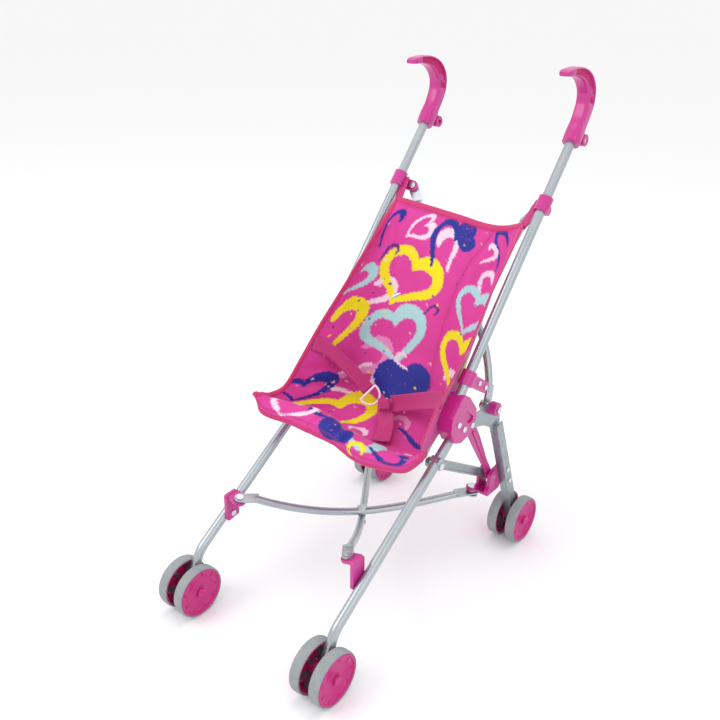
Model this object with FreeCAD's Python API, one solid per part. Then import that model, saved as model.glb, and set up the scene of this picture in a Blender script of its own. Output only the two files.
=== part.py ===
import FreeCAD, Part
import math
import os
from FreeCAD import Vector as V

# Doll stroller of the umbrella type: two side frames of round steel tube held apart by two
# pairs of crossed bars, a fabric sling seat between them and eight small wheels in four pairs.
# Millimetres, +Z up, front of the stroller towards -Y, side frames mirrored about X = 0.
os.makedirs("parts", exist_ok=True)

# ---- driving dimensions ---------------------------------------------------------------
MID_LENGTH = 46.9        # middle of the overall length in drawing coordinates
TUBE_R = 5.5             # steel frame tube, 11 mm outside
TUBE_WALL = 0.9
SIDE_X = 100.0           # side frame tubes stand this far from the middle plane
GRIP_BASE = (250.0, 489.0)      # (y, z) where the tube enters the handle grip
HANDLE_FOOT = (36.0, 233.6)     # lower end of the handle tube, inside the hinge block
LEG_TOP = (50.0, 211.5)         # upper end of the front leg, inside the hinge block
LEG_BEND = (-157.0, 69.0)       # where the front leg turns down to its wheels
WHEEL_R = 30.0
WHEEL_W = 13.4           # width of one wheel of a pair
PAIR_HALF = 19.6         # middle of a pair to its outer faces
FRONT_AXLE = (-175.0, WHEEL_R)
REAR_AXLE = (179.0, WHEEL_R)
REAR_AXLE_X = 110.0
AXLE_R = 2.0
AXLE_CLEAR = 0.08        # running clearance of a wheel on its axle
TYRE_T = 5.0             # radial thickness of the soft tyre
REAR_TOP = (104.0, 127.0, 184.0)   # top of the rear leg channel
CHANNEL_W = 10.4
CHANNEL_D = 13.0
SHEET = 1.4              # steel sheet of channel, plate and links
BAR_R = 4.5              # crossed bars, 9 mm tube
FRONT_RIVET = (80.0, -112.0, 121.0)  # lower bar on the tongue of the front bracket
REAR_RIVET = (80.0, 126.0, 80.6)     # lower bar hung under the rear bracket
LOWER_AXIS = (-0.31, -0.06, 0.95)    # a right-hand bar turns about this line as the sides close
BACK_AXIS = (-0.21, -0.80, 0.56)     # the same for a back bar on its upper bracket
LOOSE_R = 4.6            # hole of a bar's far end, wide round its 4 mm pin
LOWER_SAG = 73.0         # height of the lower bars' crossing
CROSS_LIFT = BAR_R + 0.5  # each bar of a pair steps this far aside where they cross
KNOB = (112.0, 211.0)
LINK_PIN = (12.0, 180.0)            # side link on the front leg
REAR_PIN = (137.0, 105.0)           # side link and lock strut on the rear bracket
STRUT_TOP = (82.0, 199.0)
PIN_R = 2.2
PIN_CLEAR = 0.08
UPPER_BRACKET_Z = 428.0
FABRIC_T = 1.6

DRAWN = []


def save(name, shape):
    """Write one piece, moved so that the overall length is centred on Y = 0."""
    solid = shape.copy()
    solid.translate(V(0, -MID_LENGTH, 0))
    solid.exportStep("parts/%s.step" % name)
    DRAWN.append((name, solid))


def mirrored(shape):
    return shape.mirror(V(0, 0, 0), V(1, 0, 0))


def both(name, shape):
    """A piece of the right side frame and its mirror image on the left."""
    save(name + "_right", shape)
    save(name + "_left", mirrored(shape))


def rod(a, b, r):
    a, b = V(*a), V(*b)
    return Part.makeCylinder(r, (b - a).Length, a, b - a)


def xrod(x0, x1, yz, r):
    return rod((x0, yz[0], yz[1]), (x1, yz[0], yz[1]), r)


def pipe(points, r, smooth=False, wall=0.0):
    """A round tube along a line through the points; rounded at the corners or a smooth curve."""
    pts = [V(*p) for p in points]
    if smooth:
        curve = Part.BSplineCurve()
        curve.interpolate(pts)
        wire = Part.Wire([curve.toShape()])
        start = curve.tangent(curve.FirstParameter)[0]
    else:
        wire = Part.makePolygon(pts)
        start = pts[1] - pts[0]

    def sweep(radius):
        ring = Part.Wire([Part.makeCircle(radius, pts[0], start)])
        return wire.makePipeShell([ring], True, False, 2)

    solid = sweep(r)
    if wall:
        solid = solid.cut(sweep(r - wall))
    return solid


def plate(outline, x0, x1):
    """A flat plate in the YZ plane between two X values, from (y, z) corners."""
    pts = [V(x0, y, z) for y, z in outline]
    return Part.Face(Part.makePolygon(pts + [pts[0]])).extrude(V(x1 - x0, 0, 0))


def eased(shape, r, axis="x"):
    """Round the edges of a plate that run along one axis."""
    edges = []
    for e in shape.Edges:
        if e.Curve.TypeId == "Part::GeomLine":
            d = e.tangentAt(e.FirstParameter)
            if abs({"x": d.x, "y": d.y, "z": d.z}[axis]) > 0.99:
                edges.append(e)
    try:
        return shape.makeFillet(r, edges)
    except Exception:
        return shape


def along(a, b, t):
    return tuple(p + (q - p) * t for p, q in zip(a, b))


def unit(a, b):
    d = [q - p for p, q in zip(a, b)]
    n = math.sqrt(sum(c * c for c in d))
    return [c / n for c in d]


def slot_bar(p, q, half, x0, x1):
    """A flat link with round ends between two (y, z) pins."""
    u = unit(p, q)
    n = (-u[1] * half, u[0] * half)
    body = plate([(p[0] + n[0], p[1] + n[1]), (q[0] + n[0], q[1] + n[1]),
                  (q[0] - n[0], q[1] - n[1]), (p[0] - n[0], p[1] - n[1])], x0, x1)
    return body.fuse([xrod(x0, x1, p, half), xrod(x0, x1, q, half)]).removeSplitter()


# ---- handle tube and front leg --------------------------------------------------------
handle_dir = unit(HANDLE_FOOT, GRIP_BASE)
leg_dir = unit(LEG_TOP, LEG_BEND)
tube_end = (GRIP_BASE[0] + 22 * handle_dir[0], GRIP_BASE[1] + 22 * handle_dir[1])
handle_tube = pipe([(SIDE_X,) + HANDLE_FOOT, (SIDE_X,) + tube_end], TUBE_R, wall=TUBE_WALL)

drop = unit(LEG_BEND, FRONT_AXLE)
bend_in = (LEG_BEND[0] - 9 * leg_dir[0], LEG_BEND[1] - 9 * leg_dir[1])
bend_out = (LEG_BEND[0] + 9 * drop[0], LEG_BEND[1] + 9 * drop[1])
leg_foot = (FRONT_AXLE[0] + 7 * drop[0], FRONT_AXLE[1] + 7 * drop[1])
front_leg = pipe([(SIDE_X,) + LEG_TOP, (SIDE_X,) + bend_in], TUBE_R)
front_leg = front_leg.fuse(pipe([(SIDE_X,) + bend_out, (SIDE_X,) + leg_foot], TUBE_R))
elbow = Part.Arc(V(SIDE_X, *bend_in),
                 V(SIDE_X, (bend_in[0] + bend_out[0] + 2 * LEG_BEND[0]) / 4,
                   (bend_in[1] + bend_out[1] + 2 * LEG_BEND[1]) / 4),
                 V(SIDE_X, *bend_out)).toShape()
ring = Part.Wire([Part.makeCircle(TUBE_R, V(SIDE_X, *bend_in), V(0, *leg_dir))])
front_leg = front_leg.fuse(Part.Wire([elbow]).makePipeShell([ring], True, False, 2))
axle_hole = xrod(SIDE_X - 30, SIDE_X + 30, FRONT_AXLE, AXLE_R + 0.02)
link_hole = xrod(SIDE_X - 30, SIDE_X + 30, LINK_PIN, PIN_R + 0.02)
# a short ear under the leg carries the side link's pin
leg_ear = slot_bar((LINK_PIN[0] - 2, LINK_PIN[1] + 6), LINK_PIN, 5.0, SIDE_X - TUBE_R, SIDE_X + TUBE_R)
front_leg = front_leg.fuse(leg_ear).removeSplitter().cut(axle_hole).cut(link_hole)
both("handle_tube", handle_tube)
both("front_leg", front_leg)

# ---- hooked grip of each handle -------------------------------------------------------
GRIP_W, GRIP_D = 17.0, 21.0
grip_path = [GRIP_BASE, (261.0, 502.0), (275.0, 519.5), (285.5, 541.0), (277.0, 561.5),
             (255.0, 567.5), (233.0, 559.0)]
curve = Part.BSplineCurve()
curve.interpolate([V(SIDE_X, *p) for p in grip_path])
t0 = curve.tangent(curve.FirstParameter)[0]
side = V(1, 0, 0)
nrm = t0.cross(side)
nrm.normalize()
base = V(SIDE_X, *GRIP_BASE)


def rounded_loop(w, d, r):
    """Rounded rectangle wire at the grip's base, square to its path."""
    edges = []
    cs = [(w / 2 - r, d / 2 - r), (-w / 2 + r, d / 2 - r), (-w / 2 + r, -d / 2 + r), (w / 2 - r, -d / 2 + r)]

    def at(u, v):
        return base + side * u + nrm * v

    k = r * math.sqrt(0.5)
    for i, (cu, cv) in enumerate(cs):
        a0 = math.pi / 2 * i
        p0 = at(cu + r * math.cos(a0), cv + r * math.sin(a0))
        pm = at(cu + r * math.cos(a0 + math.pi / 4), cv + r * math.sin(a0 + math.pi / 4))
        p1 = at(cu + r * math.cos(a0 + math.pi / 2), cv + r * math.sin(a0 + math.pi / 2))
        edges.append(Part.Arc(p0, pm, p1).toShape())
        nu, nv = cs[(i + 1) % 4]
        a1 = a0 + math.pi / 2
        edges.append(Part.LineSegment(p1, at(nu + r * math.cos(a1), nv + r * math.sin(a1))).toShape())
    return Part.Wire(edges)


grip = Part.Wire([curve.toShape()]).makePipeShell([rounded_loop(GRIP_W, GRIP_D, 5.0)], True, False, 2)
tip = V(SIDE_X, *grip_path[-1])
cap = Part.makeSphere(7.6, tip)
collar = rod((SIDE_X, GRIP_BASE[0] - 9 * handle_dir[0], GRIP_BASE[1] - 9 * handle_dir[1]),
             (SIDE_X, GRIP_BASE[0] + 3 * handle_dir[0], GRIP_BASE[1] + 3 * handle_dir[1]), 9.0)
boss_at = (GRIP_BASE[0] + 14 * handle_dir[0] + 15.5 * handle_dir[1],
           GRIP_BASE[1] + 14 * handle_dir[1] - 15.5 * handle_dir[0])
boss = slot_bar((GRIP_BASE[0] + 12 * handle_dir[0], GRIP_BASE[1] + 12 * handle_dir[1]), boss_at, 6.0,
                SIDE_X - 6.5, SIDE_X + 6.5)
grip = grip.fuse([collar, boss, cap]).removeSplitter()
tube_bore = rod((SIDE_X, GRIP_BASE[0] - 12 * handle_dir[0], GRIP_BASE[1] - 12 * handle_dir[1]),
                (SIDE_X,) + tube_end, TUBE_R + 0.02)
grip = grip.cut(tube_bore)
GRIP_SCREW_R = 2.6
grip = grip.cut(xrod(SIDE_X - 20, SIDE_X + 20, boss_at, GRIP_SCREW_R + 0.02))
both("grip", grip)

# ---- upper bracket: sleeve on the handle tube that takes a back bar --------------------
k = (UPPER_BRACKET_Z - HANDLE_FOOT[1]) / (GRIP_BASE[1] - HANDLE_FOOT[1])
upper = (HANDLE_FOOT[0] + k * (GRIP_BASE[0] - HANDLE_FOOT[0]), UPPER_BRACKET_Z)
sleeve_a = (SIDE_X, upper[0] - 9 * handle_dir[0], upper[1] - 9 * handle_dir[1])
sleeve_b = (SIDE_X, upper[0] + 9 * handle_dir[0], upper[1] + 9 * handle_dir[1])
upper_bracket = rod(sleeve_a, sleeve_b, 8.2)
# tongue behind the tube on its inner side; the back bar turns on it
UPPER_PIN = (upper[0] + 14.0 * handle_dir[1], upper[1] - 14.0 * handle_dir[0])
UPPER_X = SIDE_X - 14.0
TONGUE_T, TAB_T, GAP = 3.2, 2.4, 0.3
back_axis = V(*BACK_AXIS)
back_axis.normalize()
lower_axis = V(*LOWER_AXIS)
lower_axis.normalize()


def flat_end(centre, toward, normal, half, t, reach):
    """A round-nosed flat tab with its nose at the rivet: bracket tongues, flattened bar ends."""
    c, n = V(*centre), V(*normal)
    n.normalize()
    d = V(*toward) - c
    d = d - n * d.dot(n)
    d.normalize()
    w = n.cross(d) * half
    lo = c - n * (t / 2)
    pts = [lo + w, lo + w + d * reach, lo - w + d * reach, lo - w]
    tab = Part.Face(Part.makePolygon(pts + [pts[0]])).extrude(n * t)
    return tab.fuse(Part.makeCylinder(half, t, lo, n)).removeSplitter()


upper_pin = V(UPPER_X, *UPPER_PIN)
tongue = flat_end(tuple(upper_pin), (SIDE_X,) + upper, tuple(back_axis), 6.6, TONGUE_T, 15.0)
lug = slot_bar(upper, (UPPER_PIN[0] - 0.6, UPPER_PIN[1] + 0.6), 5.6, SIDE_X - 5.0, SIDE_X + 2.5)
upper_bracket = upper_bracket.fuse([lug, tongue]).removeSplitter()
upper_bracket = upper_bracket.cut(rod(along(sleeve_a, sleeve_b, -1), along(sleeve_a, sleeve_b, 2), TUBE_R + 0.08))
upper_bracket = upper_bracket.cut(rod(tuple(upper_pin - back_axis * 20), tuple(upper_pin + back_axis * 20), 2.08))
upper_bracket = sorted(upper_bracket.Solids, key=lambda piece: -piece.Volume)[0]
both("upper_bracket", upper_bracket)

# ---- clamp above the hinge block -------------------------------------------------------
CLAMP_AT = along(HANDLE_FOOT, GRIP_BASE, 0.123)
c_a = (SIDE_X, CLAMP_AT[0] - 8 * handle_dir[0], CLAMP_AT[1] - 8 * handle_dir[1])
c_b = (SIDE_X, CLAMP_AT[0] + 8 * handle_dir[0], CLAMP_AT[1] + 8 * handle_dir[1])
CLAMP_SCREWS = [(80.0, 254.0), (94.0, 243.5)]
clamp = rod(c_a, c_b, 8.4).fuse(slot_bar(CLAMP_AT, CLAMP_SCREWS[1], 6.6, SIDE_X - 5.0, SIDE_X + 5.0))
clamp = clamp.removeSplitter().cut(rod(along(c_a, c_b, -1), along(c_a, c_b, 2), TUBE_R + 0.02))
for s in CLAMP_SCREWS:
    clamp = clamp.cut(xrod(SIDE_X - 20, SIDE_X + 20, s, 1.62))
both("clamp", clamp)

# ---- hinge block joining handle tube, front leg and rear leg ---------------------------
BLOCK_X0, BLOCK_X1 = SIDE_X - 8.5, SIDE_X + 8.5
block_outline = [(46.0, 254.0), (57.0, 247.0), (72.5, 227.0), (73.0, 214.0), (60.0, 199.5),
                 (44.0, 196.0), (31.0, 201.0), (22.5, 217.0), (25.0, 233.0)]
block = eased(plate(block_outline, BLOCK_X0, BLOCK_X1), 5.0)
# a shallow waist between the two face plates, as moulded
waist_in = [(52.0, 232.0), (66.0, 221.0), (66.0, 216.0), (58.0, 214.0), (46.0, 226.0)]
recess = eased(plate(waist_in, BLOCK_X1 - 2.0, BLOCK_X1 + 1.0), 1.5)
block = block.cut(recess).cut(mirrored(recess).translate(V(2 * SIDE_X, 0, 0)))
block = block.cut(rod((SIDE_X,) + HANDLE_FOOT, (SIDE_X,) + along(HANDLE_FOOT, GRIP_BASE, 0.3), TUBE_R + 0.02))
block = block.cut(rod((SIDE_X,) + LEG_TOP, (SIDE_X,) + along(LEG_TOP, LEG_BEND, 0.4), TUBE_R + 0.02))
PLATE_X0, PLATE_X1 = REAR_TOP[0] - SHEET / 2, REAR_TOP[0] + SHEET / 2
PLATE_PIVOT = (65.0, 209.5)
block = block.cut(plate([(54.5, 190.0), (54.5, 219.0), (60.0, 236.0), (90.0, 250.0), (90.0, 190.0)],
                        PLATE_X0 - 0.3, PLATE_X1 + 0.3))
BLOCK_SCREWS = [(37.5, 221.0), (49.0, 211.0)]
block = block.cut(xrod(SIDE_X + 5.6, SIDE_X + 20, BLOCK_SCREWS[0], 1.82))
block = block.cut(xrod(SIDE_X + 5.6, SIDE_X + 20, BLOCK_SCREWS[1], 1.82))
block = block.cut(xrod(SIDE_X - 20, SIDE_X + 20, PLATE_PIVOT, 1.82))
both("hinge_block", block)

# ---- rear leg: steel channel with a triangular top plate -------------------------------
foot_u = unit(REAR_TOP, (REAR_AXLE_X,) + REAR_AXLE)
rear_foot = tuple(c + 7 * u for c, u in zip((REAR_AXLE_X,) + REAR_AXLE, foot_u))


def channel(a, b, w, d, t):
    """U channel between two points, open to the rear (+Y), w across X and d deep."""
    a, b = V(*a), V(*b)
    axis = b - a
    x = V(1, 0, 0) - axis * (axis.x / axis.dot(axis))
    x.normalize()
    y = axis.cross(x)
    y.normalize()
    if y.y < 0:
        y = y * -1
    loop = [(-w / 2, -d / 2), (w / 2, -d / 2), (w / 2, d / 2), (w / 2 - t, d / 2), (w / 2 - t, -d / 2 + t),
            (-w / 2 + t, -d / 2 + t), (-w / 2 + t, d / 2), (-w / 2, d / 2)]
    pts = [a + x * u + y * v for u, v in loop]
    return Part.Face(Part.makePolygon(pts + [pts[0]])).extrude(axis)


rear_leg = channel(REAR_TOP, rear_foot, CHANNEL_W, CHANNEL_D, SHEET)
plate_outline = [(58.5, 211.5), (62.0, 215.5), (107.0, 219.0), (120.0, 216.0), (133.0, 196.0),
                 (136.0, 168.0), (124.0, 168.0), (114.0, 184.0), (97.0, 194.0), (64.0, 203.5)]
top_plate = eased(plate(plate_outline, PLATE_X0, PLATE_X1), 2.5)
rear_leg = rear_leg.fuse(top_plate).removeSplitter()
rear_leg = rear_leg.cut(xrod(60, 160, REAR_AXLE, AXLE_R + 0.02))
rear_leg = rear_leg.cut(xrod(60, 160, KNOB, PIN_R + 0.02)).cut(xrod(60, 160, PLATE_PIVOT, 1.87))

# ---- rear bracket: moulded cup on the channel's inner face ----------------------------
def channel_at(z):
    f = (REAR_TOP[2] - z) / (REAR_TOP[2] - REAR_AXLE[1])
    return (REAR_TOP[0] + f * (REAR_AXLE_X - REAR_TOP[0]), REAR_TOP[1] + f * (REAR_AXLE[0] - REAR_TOP[1]))


cx, cy = channel_at(103.0)
CUP_X0 = 79.0
CUP_X1 = 103.6
cheek_outline = [(126.0, 96.0), (127.5, 111.0), (136.0, 115.5), (148.0, 117.5), (161.0, 117.0), (163.0, 90.0),
                 (146.0, 84.5), (122.0, 84.5), (122.0, 91.0)]
inner_outline = [(127.0, 94.0), (127.5, 111.0), (136.0, 114.5), (144.0, 112.0), (146.0, 96.0), (146.0, 84.5),
                 (122.0, 84.5), (122.0, 91.0)]
rear_bracket = plate(inner_outline, CUP_X0 + 5.0, CUP_X0 + 8.0)
rear_bracket = rear_bracket.fuse(plate(cheek_outline, CUP_X1 - 5.0, CUP_X1))
tray = Part.makeBox(CUP_X1 - 5.0 - CUP_X0, 24.0, 3.0, V(CUP_X0, 122.0, 84.5))
nose = Part.makeCylinder(8.0, 3.0, V(REAR_RIVET[0], REAR_RIVET[1], 84.5))
tray = tray.cut(Part.makeBox(20, 60, 10, V(REAR_RIVET[0] - 20, 100, 80))).fuse(nose)
rear_bracket = rear_bracket.fuse(tray).removeSplitter()
hollow = channel(along(REAR_TOP, rear_foot, -0.1), along(REAR_TOP, rear_foot, 1.1),
                 CHANNEL_W + 0.02, CHANNEL_D + 6.0, (CHANNEL_W + 0.02) / 2 - 0.01)
hollow = hollow.fuse(Part.makeBox(30, 80, 80, V(CUP_X1 + 0.5, 110, 60)))
rear_bracket = rear_bracket.cut(hollow)
rear_bracket = rear_bracket.cut(xrod(60, 130, REAR_PIN, PIN_R + 0.02))
rear_bracket = rear_bracket.cut(rod((REAR_RIVET[0], REAR_RIVET[1], 60), (REAR_RIVET[0], REAR_RIVET[1], 100), 2.02))
rear_bracket = sorted(rear_bracket.Solids, key=lambda piece: -piece.Volume)[0]
REAR_SCREWS = []
for z in (112.0, 94.0):
    sx, sy = channel_at(z)
    REAR_SCREWS.append((sx, sy, z))
    rear_leg = rear_leg.cut(xrod(sx - 12, sx + 12, (sy, z), 1.42))
    rear_bracket = rear_bracket.cut(xrod(sx - 12, sx + 12, (sy, z), 1.42))
both("rear_leg", rear_leg)
both("rear_bracket", rear_bracket)

# ---- pink knob at the top of the rear leg ---------------------------------------------
knob = xrod(PLATE_X1, PLATE_X1 + 8.5, KNOB, 8.0)
knob = knob.cut(xrod(60, 160, KNOB, PIN_R + 0.02))
both("knob", knob)

# ---- side link: flat channel between front leg and rear bracket -----------------------
LINK_X0, LINK_X1 = 88.2, 91.4
SLOT = 15.0              # the rear pin slides this far in the link while the sides close
link_u = unit(LINK_PIN, REAR_PIN)
slot_end = (REAR_PIN[0] + SLOT * link_u[0], REAR_PIN[1] + SLOT * link_u[1])
link = slot_bar(LINK_PIN, slot_end, 5.6, LINK_X0, LINK_X1)
groove = slot_bar(along(LINK_PIN, REAR_PIN, 0.1), along(LINK_PIN, REAR_PIN, 0.86), 3.6,
                  LINK_X0 + SHEET, LINK_X1 + 1)
link = link.cut(groove).cut(xrod(60, 130, LINK_PIN, PIN_R + PIN_CLEAR))
link = link.cut(slot_bar(REAR_PIN, slot_end, PIN_R + 0.5, 60, 130))
both("side_link", link)

# ---- lock strut: moulded blade that props the rear leg off the hinge block -------------
STRUT_X0, STRUT_X1 = 92.4, 97.4
u = unit(REAR_PIN, STRUT_TOP)
n = (-u[1], u[0])


def strut_pt(s, w):
    return (REAR_PIN[0] + u[0] * s + n[0] * w, REAR_PIN[1] + u[1] * s + n[1] * w)


length = math.hypot(STRUT_TOP[0] - REAR_PIN[0], STRUT_TOP[1] - REAR_PIN[1])
strut = plate([strut_pt(0, 5.2), strut_pt(30, 4.6), strut_pt(length - 34, 7.6), strut_pt(length - 6, 8.4),
               strut_pt(length + 3, 5.0), strut_pt(length + 5, -1.0), strut_pt(length - 4, -7.2),
               strut_pt(length - 34, -7.6), strut_pt(30, -4.6), strut_pt(0, -5.2)], STRUT_X0 + 1.2, STRUT_X1 - 1.2)
strut = strut.fuse(xrod(STRUT_X0, STRUT_X1, REAR_PIN, 5.6))
rib = slot_bar(strut_pt(16, 0), strut_pt(length - 16, 0), 1.6, STRUT_X0, STRUT_X1)
strut = strut.fuse(rib).removeSplitter().cut(xrod(60, 130, REAR_PIN, PIN_R + PIN_CLEAR))
both("lock_strut", strut)

# ---- front bracket: plate on the leg and tongue under the lower bar --------------------
leg_z = LEG_TOP[1] + (FRONT_RIVET[1] - LEG_TOP[0]) * (LEG_BEND[1] - LEG_TOP[1]) / (LEG_BEND[0] - LEG_TOP[0])
FB_SCREW = (FRONT_RIVET[1] - 1.0, leg_z)
fb_plate = eased(plate([(FB_SCREW[0] - 9, leg_z - 8), (FB_SCREW[0] + 9, leg_z - 5), (FB_SCREW[0] + 9, 127.5),
                        (FB_SCREW[0] - 9, 126.5)], 90.4, 94.45), 3.0)
front_pin = V(*FRONT_RIVET)
tongue = flat_end(tuple(front_pin), (100.0, FRONT_RIVET[1], FRONT_RIVET[2]), LOWER_AXIS, 8.0, TONGUE_T, 12.4)
front_bracket = fb_plate.fuse(tongue).removeSplitter()
front_bracket = front_bracket.cut(xrod(60, 130, FB_SCREW, 1.82))
front_bracket = front_bracket.cut(rod(tuple(front_pin - lower_axis * 20), tuple(front_pin + lower_axis * 20), 2.02))
front_bracket = front_bracket.cut(front_leg)
both("front_bracket", front_bracket)

# ---- screws, pins and rivets of each side ----------------------------------------------
def headed(x_head, x_end, yz, r_head, r_shank, h=1.6):
    """Pan-head screw or rivet along X; the head sits beyond x_head, away from x_end."""
    s = 1 if x_head > x_end else -1
    body = xrod(min(x_head, x_end), max(x_head, x_end), yz, r_shank)
    head = xrod(min(x_head, x_head + s * h), max(x_head, x_head + s * h), yz, r_head)
    head = head.makeFillet(h * 0.5, [e for e in head.Edges if abs(e.CenterOfMass.x - (x_head + s * h)) < 1e-6
                                     and e.Closed])
    return body.fuse(head).removeSplitter()


front_hw = [headed(BLOCK_X1, SIDE_X + 5.7, s, 3.6, 1.8) for s in BLOCK_SCREWS]
front_hw.append(headed(BLOCK_X1, BLOCK_X0, PLATE_PIVOT, 3.4, 1.8))
front_hw += [headed(SIDE_X + 5.0, SIDE_X - 4.0, s, 3.0, 1.6) for s in CLAMP_SCREWS]
front_hw.append(headed(SIDE_X + 6.5, SIDE_X - 6.0, boss_at, 3.6, 2.6))
front_hw.append(headed(90.4, 94.4, FB_SCREW, 3.6, 1.8))
link_pin = headed(LINK_X0, SIDE_X + TUBE_R, LINK_PIN, 4.2, PIN_R)
link_pin = link_pin.fuse(headed(SIDE_X + TUBE_R, SIDE_X, LINK_PIN, 4.2, PIN_R)).removeSplitter()
link_spacer = xrod(LINK_X1, SIDE_X - TUBE_R - 0.05, LINK_PIN, 4.0).cut(xrod(60, 130, LINK_PIN, PIN_R))
front_hw.append(link_pin.fuse(link_spacer).removeSplitter())
def rivet(centre, axis, lo, hi, r_shank, r_head, t=1.5):
    """A shank between two heads; lo and hi are the inner faces of the heads along the axis."""
    c, n = V(*centre), V(*axis)
    n.normalize()
    out = Part.makeCylinder(r_shank, hi - lo + t, c + n * (lo - t / 2), n)
    return out.fuse([Part.makeCylinder(r_head, t, c + n * (lo - t), n),
                     Part.makeCylinder(r_head, t, c + n * hi, n)]).removeSplitter()


front_hw.append(rivet(FRONT_RIVET, LOWER_AXIS, -TONGUE_T / 2, TONGUE_T / 2 + GAP + TAB_T + 0.3, 2.0, 4.0))
both("frame_fasteners", Part.makeCompound(front_hw))

KNOB_TAB_X = 98.2        # middle of the back bar's lower tab
knob_pin = xrod(92.4, PLATE_X1 + 10.4, KNOB, PIN_R).fuse(xrod(PLATE_X1 + 8.5, PLATE_X1 + 11.0, KNOB, 4.0))
knob_pin = knob_pin.fuse([xrod(91.6, 93.2, KNOB, 6.2), xrod(PLATE_X0 - 0.8, PLATE_X0, KNOB, 5.0)]).removeSplitter()
rear_pin = xrod(CUP_X0 + 4.0, CUP_X1 - 0.2, REAR_PIN, PIN_R).fuse(xrod(CUP_X0 + 3.4, CUP_X0 + 5.0, REAR_PIN, 4.0))
rear_pin = rear_pin.removeSplitter()
rear_rivet = rivet(REAR_RIVET, (0, 0, 1), -4.2, 6.9, 2.0, 6.2)
rear_rivet = sorted(rear_rivet.cut(rear_bracket).Solids, key=lambda piece: -piece.Volume)[0]
rear_hw = [knob_pin, rear_pin, rear_rivet]
for sx, sy, z in REAR_SCREWS:
    f = sx + CHANNEL_W / 2 + 0.1
    rear_hw.append(headed(f, sx - CHANNEL_W / 2 - 2.5, (sy, z), 3.2, 1.4))
both("rear_fasteners", Part.makeCompound(rear_hw))
# ---- crossed bars ----------------------------------------------------------------------
def through(centre, axis, r):
    c, n = V(*centre), V(*axis)
    n.normalize()
    return Part.makeCylinder(r, 60, c - n * 30, n)


# lower pair: from the front bracket of one side to the rear bracket of the other, dipping
# in the middle so that the loaded seat cannot rest on them. Drawn from the right-hand bracket.
LOWER_CROSS = (0.0, 8.0, LOWER_SAG)


def lower_bar(lift):
    seat_up = lower_axis * (TONGUE_T / 2 + GAP + TAB_T / 2)
    fr = front_pin + seat_up
    rr = V(-REAR_RIVET[0], REAR_RIVET[1], REAR_RIVET[2])
    mid = V(LOWER_CROSS[0], LOWER_CROSS[1], LOWER_CROSS[2] + lift)
    a = fr + V(-9.0, 13.0, -2.6)
    b = rr + V(10.5, -15.0, -0.6)
    q1 = (a + mid) * 0.5 + V(0, 0, -7.0)
    q2 = (b + mid) * 0.5 + V(0, 0, -3.0)
    tube = pipe([tuple(a), tuple(q1), tuple(mid), tuple(q2), tuple(b)], BAR_R, smooth=True)
    # the tabs are the tube's own flattened ends
    front_tab = flat_end(tuple(fr), tuple(q1), LOWER_AXIS, 6.0, TAB_T, 22.0)
    rear_tab = flat_end(tuple(rr), tuple(q2), (0, 0, 1), 7.6, TAB_T, 22.0)
    bar = tube.fuse([front_tab, rear_tab]).removeSplitter()
    bar = bar.cut(through(tuple(fr), LOWER_AXIS, 2.08)).cut(through(tuple(rr), (0, 0, 1), LOOSE_R))
    keep_clear = Part.makeCylinder(10.5, 12.0, front_pin + lower_axis * (TONGUE_T / 2 + GAP - 12.0), lower_axis)
    head_room = Part.makeCylinder(5.4, 8.0, fr + lower_axis * (TAB_T / 2), lower_axis)
    rear_room = Part.makeCylinder(13.0, 12.0, rr + V(0, 0, TAB_T / 2))
    return bar.cut([keep_clear, head_room, rear_room])


def crossed(name, drawn, centre, axis, pinned):
    """Save a pair of bars and the rivet where they cross; pinned False leaves that pivot open:
    the rivet is held by one bar only and stops short of the other."""
    upper_one = mirrored(drawn(CROSS_LIFT)).cut(through(centre, axis, 2.02))
    lower_one = drawn(-CROSS_LIFT)
    if pinned:
        lower_one = lower_one.cut(through(centre, axis, 3.6))
    half = CROSS_LIFT + BAR_R
    pin = rivet(centre, axis, -half - 1.0, half - 0.4, 2.0, 5.4)
    if not pinned:
        pin = pin.common(Part.makeCylinder(20.0, 40.0, V(*centre) + V(*axis) * 1.0, V(*axis)))
    save(name + "_bar_a", upper_one)
    save(name + "_bar_b", lower_one)
    save(name + "_rivet", pin.cut(upper_one))


crossed("lower", lower_bar, LOWER_CROSS, (0, 0, 1), True)

# back pair: from an upper bracket down to the rear leg's knob on the other side
BACK_CROSS = (0.0, UPPER_PIN[0] - 36.0, UPPER_PIN[1] - 95.0)
back_n = V(0, UPPER_PIN[1] - KNOB[1], -(UPPER_PIN[0] - KNOB[0]))
back_n.normalize()


def back_bar(lift):
    top = upper_pin - back_axis * (TONGUE_T / 2 + GAP + TAB_T / 2)
    low = V(-KNOB_TAB_X, *KNOB)
    mid = V(*BACK_CROSS) + back_n * lift
    a = top + V(-12.0, -7.5, -13.5)
    b = low + V(0.8, 3.0, 17.0)
    r = low + V(5.0, 7.5, 36.0)
    q = low + V(19.0, 17.0, 66.0)
    tube = pipe([tuple(a), tuple(mid), tuple(q), tuple(r), tuple(b)], BAR_R, smooth=True)
    top_tab = flat_end(tuple(top), tuple(a), tuple(back_axis), 6.0, TAB_T, 22.0)
    low_tab = flat_end(tuple(low), tuple(b + V(0, 2, 10)), (1, 0, 0), 7.4, TAB_T, 24.0)
    bar = tube.fuse([top_tab, low_tab]).removeSplitter()
    bar = bar.cut(through(tuple(top), tuple(back_axis), 2.02)).cut(xrod(-140, -60, KNOB, LOOSE_R))
    clear_tongue = Part.makeCylinder(10.5, 12.0, upper_pin - back_axis * (TONGUE_T / 2 + GAP), back_axis)
    bar = bar.cut(clear_tongue)
    pin = rivet(tuple(upper_pin), tuple(back_axis), -TONGUE_T / 2 - GAP - TAB_T, TONGUE_T / 2 + 0.2, 2.0, 3.8)
    return Part.makeCompound([bar, pin.cut(bar)])


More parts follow.
